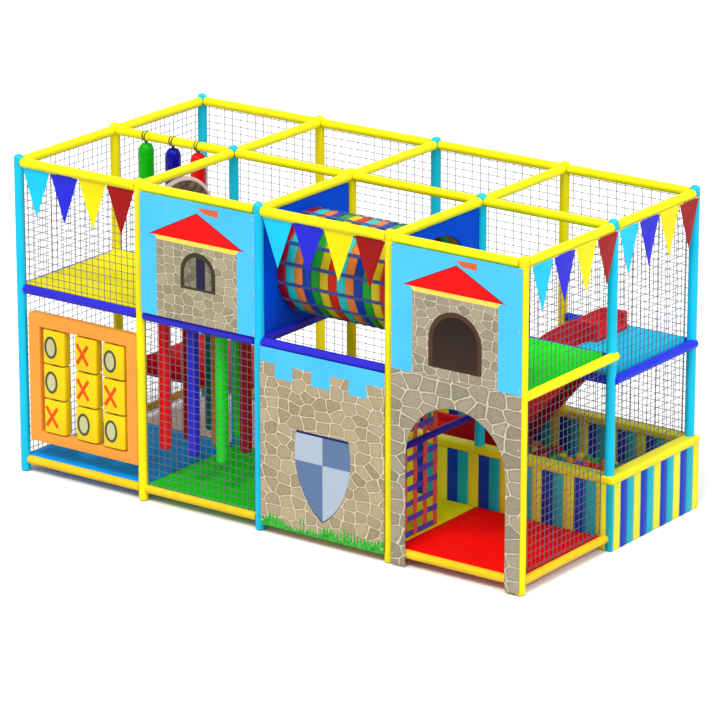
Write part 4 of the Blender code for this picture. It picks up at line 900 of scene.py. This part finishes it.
def strip_places(low, high, anchor, pitch, least):
    """Seams along a run at even spaces from an anchor, none nearer than the least way to an end,
    with the number of each strip."""
    number = np.arange(math.floor((low - anchor) / pitch), math.ceil((high - anchor) / pitch) + 1)
    seams = anchor + pitch * number
    kept = (seams > low + least) & (seams < high - least)
    seams, number = np.concatenate([[low], seams[kept], [high]]), number[kept]
    return zip(seams[:-1], seams[1:], [number[0] - 1, *number])


for name, axis, out, back, anchor, pitch, least in (
        ("front", 0, PIT_LOW[1], PIT_IN_LOW[1], 1.138, 0.0975, 0.05),
        ("back", 0, PIT_HIGH[1], PIT_IN_HIGH[1], 1.138, 0.0975, 0.06),
        ("left", 1, PIT_LOW[0], PIT_IN_LOW[0], -0.010, 0.0943, 0.02),
        ("right", 1, PIT_HIGH[0], PIT_IN_HIGH[0], -0.010, 0.0943, 0.02)):
    low, high, in_low, in_high = PIT_LOW[axis], PIT_HIGH[axis], PIT_IN_LOW[axis], PIT_IN_HIGH[axis]
    stretch = (in_high - in_low) / (high - low)
    blocks = [[], [], []]
    for a, b, k in strip_places(low, high, anchor, pitch, least):
        inner = in_low + (a - low) * stretch, in_low + (b - low) * stretch
        tone = 2 if name == "front" and b == high else k % 3
        blocks[tone].append(strip_block((a, b), inner, out, back, axis))
    for (colour, finish), part in zip(strip_finish.items(), blocks):
        piece(f"pit_wall_{name}_{colour}", [carried(np.stack(part))], finish, "ball_pit_wall",
              crease=60.0)


def round_rectangle(low, high, radius, steps=6, straight=10):
    """The outline of a rectangle with round corners: four quarter circles joined by even steps."""
    spots, bend = [], quarter(steps)
    centres = [(high[0] - radius, low[1] + radius), (high[0] - radius, high[1] - radius),
               (low[0] + radius, high[1] - radius), (low[0] + radius, low[1] + radius)]
    arcs = [np.array(centre) + radius * spokes(bend + turn)
            for centre, turn in zip(centres, (-np.pi / 2, 0, np.pi / 2, np.pi))]
    for arc, after in zip(arcs, arcs[1:] + arcs[:1]):
        way = np.linspace(0, 1, straight)[1:-1, None]
        spots += [arc, arc[-1] * (1 - way) + after[0] * way]
    return np.concatenate(spots)


coping_out = round_rectangle((-0.063, -0.053), (2.472, 1.210), 0.030)
coping_in = round_rectangle((0.063, 0.063), (2.346, 1.084), 0.008)
bend, COPING_ROLL = quarter(5), 0.018
edge = 0.16 * (1 - np.cos(bend))
share = np.concatenate([edge, [0.35, 0.5, 0.65], 1 - edge[::-1]])
share = np.concatenate([share, share[::-1]])
drop = COPING_ROLL - COPING_ROLL * np.sin(bend)
drop = np.concatenate([drop, [0, 0, 0], drop[::-1]])
height = np.concatenate([COPING_TOP - drop, COPING_FOOT + drop[::-1]])
rings = coping_out + share[:, None, None] * (coping_in - coping_out)
piece("pit_coping", [carried(at_level(rings, height), looped=True)],
      soft_skin("yellow coping vinyl", paint(252, 238, 30), (0.3, 0.42), 340.0), "ball_pit_wall",
      crease=60.0)

# Balls
# Soft plastic play balls, eight centimetres across, in five colours, lying as they fall on the
# pit's foam floor and round the foot of the slide.
BALL_RADIUS, PIT_FLOOR, HEAP_TOP = 0.040, 0.135, 0.305
ball_paints = ((224, 30, 16), (240, 122, 20), (28, 165, 40), (22, 80, 205), (240, 214, 24))
BALL_MIX = np.array([0, 0, 0, 1, 1, 2, 2, 2, 3, 4])


def heaped():
    """Where balls come to rest: close-packed rows, every layer in the hollows of the one below,
    are stirred, and then each step pushes an overlapping pair apart by half of the overlap and
    keeps all of them off the floor, the walls and the slide's foot."""
    draw = np.random.default_rng(7)
    low = np.array([*PIT_IN_LOW, PIT_FLOOR]) + BALL_RADIUS
    high = np.array([*PIT_IN_HIGH, HEAP_TOP]) - BALL_RADIUS
    along, over, up = np.meshgrid(np.arange(28), np.arange(14), np.arange(2), indexing="ij")
    spots = np.stack([0.0805 * (along + 0.5 * ((over + up) % 2)), 0.0712 * over + 0.024 * up,
                      0.066 * up], -1).reshape(-1, 3) + low
    spots += draw.uniform(-1, 1, spots.shape) * (0.020, 0.020, 0.012)
    count = len(spots)
    for _ in range(16):
        way = spots[:, None] - spots[None]
        far = np.maximum(np.sqrt((way ** 2).sum(-1)), 1e-4) + np.eye(count)
        lap = np.clip(2 * BALL_RADIUS - far, 0, None) * (far < 1)
        spots += 0.45 * (way * (lap / far)[..., None]).sum(1)
        front, behind = SLIDE_Y - BALL_RADIUS, SLIDE_Y + SLIDE_WIDTH + BALL_RADIUS
        toe = (spots[:, 0] > SLIDE_TOE - BALL_RADIUS) & (spots[:, 0] < 0.99) & \
            (spots[:, 1] > front) & (spots[:, 1] < behind)
        near = spots[:, 1] < SLIDE_Y + SLIDE_WIDTH / 2
        spots[toe & near, 1] = front
        spots[toe & ~near, 1] = behind
        spots = np.clip(spots, low, high)
    return spots, BALL_MIX[draw.integers(0, 10, count)]


ball_spots, ball_colours = heaped()
tilt = np.radians([-78, -47, -16, 16, 47, 78])
angle = round_turn(10)
ball_shape = BALL_RADIUS * np.stack([np.cos(tilt)[:, None] * np.cos(angle),
                                     np.cos(tilt)[:, None] * np.sin(angle),
                                     np.sin(tilt)[:, None] + 0 * angle], -1)
ball_finish = [soft_skin(f"ball plastic {order + 1}", paint(*level), (0.22, 0.36), 40.0, 0.0001,
                         14.0, 0.001, 0.14, 0.3) for order, level in enumerate(ball_paints)]
piece("pit_balls", [carried(ball_spots[ball_colours == order, None, None] + ball_shape)
                    for order in range(5)],
      ball_finish, "ball_bed", crease=60.0)
notched_pad("pit_floor_pad", (0.056, 0.056, 0.002), (2.353, 1.091, PIT_FLOOR),
            mat_finish["blue"], "ball_bed", "balls", 0.8)

# Strap barrier
# Orange upright and violet level webbing, woven over and under, stretched between the posts below
# the tunnel's right end and lapped over a padded blue beam.
BARRIER_X, BARRIER_END, BEAM_Z, UPRIGHT_WIDTH, LEVEL_WIDTH = 1.218, -0.570, 0.865, 0.054, 0.045
upright_y = np.linspace(-1.1235, BARRIER_END - 0.027, 5)
level_z = np.array([0.150, 0.270, 0.390, 0.510, 0.630, 0.750, 0.980, 1.100, 1.220, 1.340, 1.456])
strap_violet = webbing("violet webbing", paint(62, 6, 196), 0.004)
beam_violet = soft_skin("violet beam sleeve", paint(46, 14, 176))
strap_orange = webbing("orange webbing", paint(232, 62, 34), 0.004)


def flat_strap(line, side, width, thick=0.0022):
    """A flat strap: a thin rectangle with eased corners carried along a line of points, its width
    along one fixed way and its thickness square to both."""
    line, side = np.array(line, float), np.array(side, float)
    up = unit(np.cross(side, unit(np.gradient(line, axis=0))))
    plan = np.array([(-0.5, -0.3), (-0.46, -0.5), (0.46, -0.5), (0.5, -0.3), (0.5, 0.3),
                     (0.46, 0.5), (-0.46, 0.5), (-0.5, 0.3)]) * (width, thick)
    return line[:, None] + plan[:, 0][:, None] * side + plan[:, 1][:, None] * up[:, None]


def weave_offset(place, crossings, sign):
    """Over and under: a cosine that changes side at each crossing strap."""
    order = np.interp(place, crossings, np.arange(len(crossings)))
    return 0.0024 * sign * np.cos(np.pi * order)


reach_z, reach_y = np.linspace(0.127, 1.480, 130), np.linspace(-1.1505, BARRIER_END, 60)
uprights = [flat_strap(np.stack([BARRIER_X + weave_offset(reach_z, level_z, (-1) ** k),
                                 np.full_like(reach_z, y), reach_z], -1), (0, 1, 0), UPRIGHT_WIDTH)
            for k, y in enumerate(upright_y)]
levels = [flat_strap(np.stack([BARRIER_X - weave_offset(reach_y, upright_y, (-1) ** k), reach_y,
                               np.full_like(reach_y, z)], -1), (0, 0, 1), LEVEL_WIDTH)
          for k, z in enumerate(level_z)]
piece("barrier_upright_straps", [carried(np.stack(uprights))], strap_orange, "strap_barrier")
piece("barrier_level_straps", [carried(np.stack(levels))], strap_violet, "strap_barrier")
rail("barrier_beam", post(3, 0, BEAM_Z), post(3, 1, BEAM_Z), 0.028, beam_violet, "strap_barrier")

# Step platform
# A thick red step across the left back bay, stuffed and seamed round its rim at mid height, on two
# padded rails.
STEP_Z = 0.50
step_red = soft_skin("red step vinyl", paint(206, 12, 16), (0.32, 0.46), 320.0, 0.00015, 6.0,
                     0.003, coat=0.0, mirror=0.02)
notched_pad("step_pad", (-2.382, 0.230, STEP_Z - 0.08), (-1.110, 1.097, STEP_Z + 0.08), step_red,
            "step_platform", "red_vinyl", crown=0.008, roll=0.045, waist=0.008)
for column in (0, 1):
    rail(f"step_rail_{column + 1}", post(column, 1, STEP_Z), post(column, 2, STEP_Z), BASE_RADIUS,
         base_yellow, "step_platform")

# Noughts-and-crosses board
# An orange board with a window, three steel rods through it, and nine yellow blocks that turn on
# the rods, each with an inlaid nought or cross on its faces.
board_orange = soft_skin("orange board paint", paint(252, 164, 62), (0.26, 0.4), 26.0, 0.0003, 5.0,
                         0.0008, 0.16)
board_out = round_rectangle((-2.271, 0.280), (-1.1853, 1.340), 0.012, 5, 4)
board_in = round_rectangle((-2.161, 0.366), (-1.2863, 1.238), 0.006, 5, 4)
bend, FRAME_FRONT, FRAME_BACK = quarter(4), -1.210, -1.130
ease_in, ease_y = 0.05 * (1 - np.cos(bend)), 0.004 * (1 - np.sin(bend))
share = np.concatenate([ease_in, 1 - ease_in[::-1], 1 - ease_in, ease_in[::-1]])
depth = np.concatenate([FRAME_FRONT + ease_y, FRAME_FRONT + ease_y[::-1], FRAME_BACK - ease_y,
                        FRAME_BACK - ease_y[::-1]])
rings = board_out + share[:, None, None] * (board_in - board_out)
piece("game_board_frame", [carried(at_level(rings, depth, 1), looped=True)], board_orange,
      "game_board")
rod_steel = bare_metal("brushed rod steel", paint(128, 130, 136), 300.0, (0.22, 0.42))
ROD_X, BLOCK_Z, ROD_Y = (-2.0158, -1.69478, -1.4175), (1.0897, 0.802, 0.5143), -1.17
for order, x in enumerate(ROD_X):
    piece(f"game_rod_steel_{order + 1}",
          [carried(turned((x, ROD_Y, 0.348), [(0.009, 0), (0.010, 0.001), (0.010, 0.907),
                                              (0.009, 0.908)], 16))],
          rod_steel, f"game_rod_{order + 1}")
block_yellow = soft_skin("yellow block plastic", paint(250, 214, 18), (0.24, 0.38), 120.0, 0.0001,
                         8.0, 0.0008)
nought_grey = soft_skin("nought inlay", paint(78, 84, 58), (0.3, 0.42))
nought_pale = soft_skin("nought field", paint(206, 204, 150), (0.3, 0.42))
cross_orange = soft_skin("cross inlay", paint(240, 86, 8), (0.3, 0.42))
bush_black = soft_skin("black rod bush", paint(38, 38, 42), (0.4, 0.55))
MARK_SHIFT, MARK_RISE, BLOCK_HALF = -0.023, 0.0003, (0.10765, 0.050, 0.1350)


def block_shell(centre):
    """A block: a rounded plan carried up, drawn in by a quarter circle at its foot and head."""
    half, bend = np.array(BLOCK_HALF[:2]), quarter(4)
    lip, draw_in = 0.005 * (1 - np.cos(bend)), 0.005 * (1 - np.sin(bend))
    place = np.concatenate([-BLOCK_HALF[2] + lip, BLOCK_HALF[2] - lip[::-1]])
    draw_in = np.concatenate([draw_in, draw_in[::-1]])
    spots = round_rectangle(-half, half, 0.024, 6, 4) * (1 - draw_in[:, None, None] / half)
    return np.array(centre) + at_level(spots, place)


def on_face(centre, face, spots, rise):
    """Places across and up a mark, put on a block's face with a rise out of it."""
    away = centre[1] + face * (BLOCK_HALF[1] + rise)
    return np.stack([centre[0] - face * MARK_SHIFT + spots[..., 0],
                     np.broadcast_to(away, spots.shape[:-1]), centre[2] + spots[..., 1]], -1)


def cross(centre, face):
    """Two raised bars from corner to corner, one a little thicker than the other."""
    bars = []
    for way in (-1, 1):
        reach = np.array([0.055 * way, 0.080])
        spots = on_face(centre, face, np.array([-reach, reach]), MARK_RISE)
        side = np.cross(unit(spots[1] - spots[0]), (0, 1, 0))
        bars.append(flat_strap(spots, side, 0.029, 0.0024 + 0.0006 * way))
    return [carried(np.stack(bars))]


def nought(centre, face):
    """A raised oval ring on a block's face, and the low oval field inside it: ovals that shrink
    to the middle while they rise to the field's own height."""
    turn, stroke = round_turn(48), 0.021
    plan = np.array([(-0.5, -0.5), (0.5, -0.5), (0.5, 0.35), (0.35, 0.5), (-0.35, 0.5),
                     (-0.5, 0.35)]) * (stroke, 0.0024)
    out, size = spokes(turn), np.array([0.0635, 0.092]) - stroke / 2
    ring = on_face(centre, face, out[:, None] * (size + plan[:, 0][:, None]),
                   MARK_RISE + plan[:, 1])
    shrink, rise = np.array([1.0, 1.0, 0.6, 0.1]), np.array([-0.0012, 0.0002, 0.0006, 0.0007])
    field = on_face(centre, face, shrink[:, None, None] * out * size, rise[:, None])
    return [carried(ring, looped=True), carried(field)]


MARKS = ("oxo", "oxx", "xoo")
for row, z in enumerate(BLOCK_Z):
    for column, x in enumerate(ROD_X):
        name, body = f"game_block_{row + 1}{column + 1}", f"block_{row + 1}{column + 1}"
        centre = (x, ROD_Y, z)
        piece(f"{name}_shell", [carried(block_shell(centre))], block_yellow, name,
              body)
        ends = [turned((x, ROD_Y, z + side * (BLOCK_HALF[2] + 0.0038) - 0.004),
                       [(0.0105, 0), (0.026, 0), (0.028, 0.001), (0.028, 0.007), (0.026, 0.008),
                        (0.0105, 0.008)], 20) for side in (-1, 1)]
        piece(f"{name}_bushes", [carried(np.stack(ends))], bush_black, name, body)
        for face, mark in ((-1, MARKS[row][column]), (1, "xo"[MARKS[row][column] == "x"])):
            where = f"{name}_{'front' if face < 0 else 'back'}_mark"
            inlay, finish = ((nought, [nought_grey, nought_pale]) if mark == "o"
                             else (cross, cross_orange))
            piece(where, inlay(centre, face), finish, name, body)

# Punch bags
# Three vinyl bags filled with foam, piped at both ends, each on a webbing loop round the middle
# top rail.
BAG_X, BAG_RADIUS = (-2.024, -1.751, -1.4995), 0.063
BAG_HIGH, BAG_FOOT, STRAP_FOOT = 2.498, 1.736, 2.490
bag_paints = {"green": (6, 182, 6), "blue": (10, 10, 158), "red": (228, 10, 10)}
bag_strap = webbing("black bag webbing", paint(34, 34, 40))
bend, rise = quarter(7), quarter(9)
shoulder = np.stack([BAG_RADIUS * np.cos(bend) ** 0.6, 0.032 * np.sin(bend)], -1)
shoulder[-1, 0] = 0.004
head = np.stack([0.011 + 0.0518 * np.cos(rise) ** 0.8, 0.070 * np.sin(rise)], -1)
body_profile = np.concatenate([shoulder[::-1] * (1, -1) + (0, BAG_FOOT + 0.032),
                               [(0.0628, z) for z in np.linspace(1.80, 2.41, 15)],
                               head + (0, BAG_HIGH - 0.076),
                               [(0.012, BAG_HIGH - 0.002), (0.004, BAG_HIGH)]])
body_profile[:, 0] -= 0.0022 * np.exp(-((body_profile[:, 1] - 2.1) / 0.02) ** 2)
bag_finish = skin_set(bag_paints, "bag vinyl", (0.22, 0.34), 360.0, 0.00014, 12.0, 0.006)
for x, (colour, finish) in zip(BAG_X, bag_finish.items()):
    name, body = f"punch_bag_{colour}", f"bag_{colour}"
    piece(f"{name}_body", [carried(turned((x, 0.0, 0.0), body_profile, 36))], finish, name,
          body, crease=70.0)
    turn, cord = round_turn(40)[:, None], round_turn(8)
    out = BAG_RADIUS - 0.0005 + 0.0028 * np.cos(cord)
    bands = [np.stack([x + out * np.cos(turn), out * np.sin(turn),
                       np.broadcast_to(z + 0.0028 * np.sin(cord), (40, 8))], -1)
             for z in (BAG_FOOT + 0.034, BAG_HIGH - 0.078)]
    piece(f"{name}_piping", [carried(np.stack(bands), looped=True)], finish, name,
          body)
    around = np.linspace(-0.35 * np.pi, 1.35 * np.pi, 40)
    loop = np.concatenate([[(0.004, STRAP_FOOT), (0.010, 2.502)],
                           0.040 * spokes(around) + (0.0, TOP_Z),
                           [(-0.010, 2.502), (-0.004, STRAP_FOOT)]])
    spread = 0.003 + 0.12 * np.clip(loop[:, 1:] - STRAP_FOOT, 0, 0.10)
    lines = [np.concatenate([x + side * spread, loop], 1) for side in (-1, 1)]
    piece(f"{name}_strap", [carried(np.stack([flat_strap(line, (1, 0, 0), 0.010)
                                              for line in lines]))], bag_strap, name,
          body)

# Hanging poles
# Nine foam poles in bright vinyl, hung on webbing tabs under the walkway to push through. The dark red,
# dark yellow and dark cyan poles of the middle and back rows are painted shade: red, yellow and cyan
# vinyl darkened as if in the walkway's shadow.
POLE_X, POLE_Y, POLE_RADIUS = (-1.076, -0.796, -0.516), (-0.99, -0.69, -0.41), 0.0495
POLE_COLOURS = (("red", "blue", "green"), ("maroon", "shaded_yellow", "maroon"), ("teal", "green", "teal"))
# Painted shade: the dark red, dark yellow and dark cyan here are red, yellow and cyan vinyl darkened
# for the poles that hang deeper under the walkway.
pole_paints = {"red": (255, 22, 16), "blue": (52, 44, 225), "green": (20, 240, 26),
               "maroon": (172, 14, 20), "shaded_yellow": (206, 138, 22), "teal": (12, 128, 130)}
pole_finish = skin_set(pole_paints, "pole vinyl", (0.28, 0.42), 340.0, 0.00014, 10.0, 0.005)
bend = quarter(6)
end = np.stack([0.018 + (POLE_RADIUS - 0.018) * np.cos(bend), 0.022 * np.sin(bend)], -1)
pole_profile = np.concatenate([[(0.004, 0.380)], end[::-1] * (1, -1) + (0, 0.402),
                               [(POLE_RADIUS, z) for z in np.linspace(0.45, 1.35, 16)],
                               end + (0, 1.398), [(0.004, 1.420)]])
for row, y in enumerate(POLE_Y):
    for column, x in enumerate(POLE_X):
        name, body = f"hanging_pole_{row + 1}{column + 1}", f"pole_{row + 1}{column + 1}"
        finish = pole_finish[POLE_COLOURS[row][column]]
        piece(f"{name}_foam", [carried(turned((x, y, 0.0), pole_profile, 32))], finish, name,
              body, crease=70.0)
        tab = np.stack([np.full(6, x), np.full(6, y), np.linspace(1.416, 1.498, 6)], -1)
        piece(f"{name}_tab", [carried(flat_strap(tab, (1, 0, 0), 0.016, 0.003))], bag_strap, name,
              body)

# Safety nets
# Knotted grey nylon nets laced to the outside of the frame, with a rope sewn round their edges.
TWINE, EDGE_ROPE, KNOT = 0.0027, 0.0034, 0.0048
SQUARE = np.array([(1, 0), (0, 1), (-1, 0), (0, -1)])
KNOT_SHAPE = KNOT * np.stack([np.insert(wide * SQUARE, 2, high, 1)
                              for wide, high in ((0.35, -1), (1.0, 0), (0.35, 1))])
net_grey, tree, shader, place = bare_finish("grey net nylon")
faded = between(tree, cloud(tree, place, 90.0), 0.35, 0.65)
plug(shader, {"Base Color": layer(tree, faded, paint(74, 74, 92), paint(106, 106, 126)),
              "Normal": relief(tree, cloud(tree, place, 700.0), 0.0006), "Roughness": 0.6})


def net_places(low, high, anchor, pitch):
    """Even places from an anchor that lie inside a span, with the span's two ends."""
    first = math.ceil((low - anchor) / pitch + 0.1)
    last = math.floor((high - anchor) / pitch - 0.1)
    return np.concatenate([[low], anchor + pitch * np.arange(first, last + 1), [high]])


def twines(grid, radius, sides=4):
    """Square twines along the first way of a grid of points, one for each line of the second."""
    lines = np.moveaxis(grid, 1, 0)
    along = unit(np.gradient(lines, axis=1))
    first = unit(np.cross(along, np.where(np.abs(along[..., 2:]) > 0.7, (1.0, 0.3, 0.0),
                                          (0, 0, 1.0))))
    return lines[..., None, :] + radius * hoop(first, np.cross(along, first), sides)


def net(name, axis, away, span, rise, pitch=0.058):
    """A net over one or more rectangles: the crossing points lie on a grid and are stirred inside
    it by slow sines that vanish at the edges; twines follow both ways and meet in small knots."""
    skins, ropes = [], []
    for (a, b), (foot, top) in zip(span, rise):
        u, v = np.meshgrid(net_places(a, b, 0.0, pitch), net_places(foot, top, TOP_Z, 0.060),
                           indexing="ij")
        calm = np.sin(np.pi * (u - a) / (b - a)) * np.sin(np.pi * (v - foot) / (top - foot))
        calm = np.abs(calm) ** 0.5
        stir = [0.0010 * calm * np.sin(u * p + v * q + r) for p, q, r in
                ((9.1, 5.3, 0.4), (4.7, 8.9, 2.0), (3.9, 3.1, 1.1))]
        flat = (u + stir[0], v + stir[1], away + stir[2])
        grid = np.stack([flat[0], flat[2], flat[1]] if axis == 0 else
                        [flat[2], flat[0], flat[1]], -1)
        skins += [carried(twines(grid, TWINE)), carried(twines(np.swapaxes(grid, 0, 1), TWINE))]
        inner = grid[1:-1, 1:-1].reshape(-1, 1, 1, 3)
        skins.append(carried(inner + KNOT_SHAPE))
        ropes += [carried(twines(edge[:, None], EDGE_ROPE, 6)) for edge in
                  (grid[0], grid[-1], grid[:, 0], grid[:, -1])]
    return piece(f"{name}_mesh", skins + ropes, net_grey, name, crease=80.0)


net("net_left", 1, -2.3878, [(-1.188, 1.181)], [(0.03, 2.553)])
net("net_back", 0, 1.1838, [(-2.385, -0.0633), (-0.0633, 2.410)],
    [(0.03, 2.553), (COPING_TOP + 0.0003, 2.553)], 0.0795)
net("net_right", 1, 2.3622, [(-1.152, -0.0533), (-0.0533, 1.104)],
    [(0.134, 2.512), (COPING_TOP + 0.0003, 2.512)])
net("net_front_upper", 0, -1.187, [(-2.307, -1.185)], [(1.558, 2.512)])
net("net_front_lower", 0, -1.190, [(-1.107, -0.039)], [(0.134, 1.482)])

# Bunting
# Pennants cut from thin vinyl cloth, hemmed on a tape that is laced along the top rails: cyan,
# blue, yellow and dark red, over and over.
FLAG_LENGTH, FLAG_GAP = 0.382, 0.002
flag_paints = {"cyan": (20, 210, 252), "blue": (38, 40, 218), "yellow": (255, 236, 0),
               "maroon": (160, 6, 4)}
flag_finish = skin_set(flag_paints, "pennant vinyl", (0.34, 0.46), 500.0, 0.0001, 10.0, 0.001)


def pennant(left, right, away, axis, top, turn):
    """A hanging pennant: two straight sides that meet in a tip, bowed outwards by a half sine
    across and curled outwards to the tip by a square, as a closed sheet a millimetre thick."""
    way, down = np.linspace(-1, 1, 9), np.linspace(0, 1, 14)
    width = (right - left) / 2 * (1 - 0.985 * down)
    middle = (left + right) / 2
    bow = 0.004 * np.cos(np.pi / 2 * way) * np.sin(1.5 * np.pi * down[:, None] + turn) ** 2
    curl = bow + 0.007 * np.sin(turn * 2.3) ** 2 * down[:, None] ** 2
    curl = -curl if axis == 0 else curl
    u = middle + width[:, None] * way
    v = np.broadcast_to((top - FLAG_LENGTH * down)[:, None], u.shape)
    faces = [np.stack([u, v, away + curl + part], -1) for part in (-0.0006, 0.0006)]
    ring = np.concatenate([faces[0], faces[1][:, ::-1]], 1)
    return ring[..., [0, 2, 1]] if axis == 0 else ring[..., [2, 0, 1]]


def bunting(name, spans, away, axis, top):
    """A string of pennants, four to a bay, with their tape."""
    skins, tapes, area, node = [], [], 0.0, f"bunting_{name}"
    for start, end in spans:
        pitch = (end - start) / 4
        for flag in range(4):
            left = start + flag * pitch
            skins.append(carried(pennant(left + FLAG_GAP, left + pitch - FLAG_GAP, away, axis, top,
                                         len(skins) * 1.7 + start)))
            area += (pitch - 2 * FLAG_GAP) * FLAG_LENGTH * 0.51
        place = np.linspace(start, end, 40)
        spots = np.stack([place, np.full(40, away), np.full(40, top - 0.002)], -1)
        spots = spots if axis == 0 else spots[:, [1, 0, 2]]
        tapes.append(flat_strap(spots, (0, 0, 1), 0.009, 0.0026))
    made = piece(f"pennants_{name}", skins, list(flag_finish.values()), node,
                 crease=80.0)
    tape = piece(f"{made.name}_tape", [carried(np.stack(tapes))], tape_yellow, node)


tape_yellow = webbing("yellow hem tape", paint(250, 236, 40), 0.003)
bunting("front_left", [(-2.3067, -1.1853)], -1.1945, 0, 2.512)
bunting("front_right", [(0.0393, 1.1787)], -1.1945, 0, 2.512)
bunting("side", [(-1.1507, 0.002), (0.010, 1.137)], 2.4448, 1, 2.530)

# Filling
# The foam inside the pads and bags presses their covers out: Blender's cloth, under pressure and
# without weight, with the seams and the sides that rest on wood held where they were sewn.
SWELLS = {
    **dict.fromkeys(("walkway_pad_1", "walkway_pad_2", "green_pad", "slide_deck_pad",
                     "blue_mat_pad", "green_mat_pad", "yellow_mat_pad", "red_mat_pad"), 0.006),
    "step_pad": 0.016, **{f"punch_bag_{colour}_body": 0.004 for colour in bag_paints},
    **{f"tunnel_bulkhead_{side}_wall": 0.007 for side in ("left", "right")}}


def places_of(mesh):
    """The points of a mesh as rows of three numbers."""
    spots = np.empty(len(mesh.vertices) * 3)
    mesh.vertices.foreach_get("co", spots)
    return spots.reshape(-1, 3)


def sewn(name, spots):
    """True for each point that stays: on a pad all that isn't above its rim, on a bag the ends
    past the pipings, and on a wall the hem of its hole and its outline."""
    if "bag" in name:
        return (spots[:, 2] < BAG_FOOT + 0.036) | (spots[:, 2] > BAG_HIGH - 0.080)
    if "bulkhead" in name:
        way = np.hypot(spots[:, 1] - TUNNEL_Y, spots[:, 2] - TUNNEL_Z)
        edge = np.minimum.reduce([spots[:, 1] + 1.150, -0.040 - spots[:, 1], spots[:, 2] - 1.554,
                                  2.511 - spots[:, 2]])
        return (way < TUNNEL_BORE + 0.02) | (edge < 0.01)
    low, high = spots[:, 2].min(), spots[:, 2].max()
    return spots[:, 2] < low + 0.62 * (high - low)


covers = [bpy.data.objects[name] for name in SWELLS]
rested = [places_of(cover.data) for cover in covers]
for cover, spots in zip(covers, rested):
    held = cover.vertex_groups.new(name="held")
    held.add(np.flatnonzero(sewn(cover.name, spots)).tolist(), 1.0, "REPLACE")
    filling = cover.modifiers.new("filling", "CLOTH")
    filling.settings.quality = 4
    filling.settings.use_pressure = True
    filling.settings.uniform_pressure_force = 4.0
    filling.settings.vertex_group_mass = "held"
    filling.settings.effector_weights.gravity = 0.0
    filling.point_cache.frame_end = 20
for moment in range(1, 21):
    bpy.context.scene.frame_set(moment)
pressed = bpy.context.evaluated_depsgraph_get()
swollen = [places_of(cover.evaluated_get(pressed).data) for cover in covers]
for cover, spots, moved in zip(covers, rested, swollen):
    way = moved - spots
    far = np.linalg.norm(way, axis=1, keepdims=True)
    way *= np.minimum(1, SWELLS[cover.name] / np.maximum(far, 1e-9))
    cover.modifiers.clear()
    cover.vertex_groups.clear()
    cover.data.vertices.foreach_set("co", (spots + way).ravel())
    cover.data.update()
    smooth = cover.modifiers.new("fine", "SUBSURF")
    smooth.levels = smooth.render_levels = 1
bpy.context.scene.frame_set(1)

# Floor and lights
# A pale studio floor with one broad soft lamp in front, a weaker one at the right side and an
# even sky. The camera and polished things see the floor white.
floor_mesh = bpy.data.meshes.new("floor")
floor_mesh.from_pydata([(-90, -90, 0), (90, -90, 0), (90, 90, 0), (-90, 90, 0)], [],
                       [(0, 1, 2, 3)])
floor = placed("floor", floor_mesh)
floor_finish, tree, shader, place = bare_finish("pale floor")
rays = wire(tree, "LightPath", {}).outputs
seen = reckon(tree, "MAXIMUM", rays["Is Camera Ray"], reckon(
    tree, "MAXIMUM", rays["Is Glossy Ray"], rays["Is Transmission Ray"]))
plug(shader, {"Base Color": layer(tree, seen, (0.60, 0.60, 0.60, 1), (1.0, 1.0, 1.0, 1)),
              "Roughness": 0.9, "Specular IOR Level": 0.0})
floor_mesh.materials.append(floor_finish)
floor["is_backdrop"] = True
world = bpy.data.worlds.new("studio")
world.use_nodes = True
bpy.context.scene.world = world
plug(world.node_tree.nodes["Background"], {"Color": (1, 1, 1, 1), "Strength": 0.76})
for name, turn, tilt, strength, spread in (("front lamp", 12.0, 56.0, 1.75, 24.0),
                                           ("side lamp", 78.0, 40.0, 1.05, 30.0)):
    lamp_data = bpy.data.lights.new(name, "SUN")
    lamp_data.energy, lamp_data.angle = strength, math.radians(spread)
    placed(name, lamp_data).rotation_euler = (math.radians(90 - tilt), 0.0, math.radians(turn))
bpy.context.scene.view_settings.view_transform = "Standard"

low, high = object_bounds()
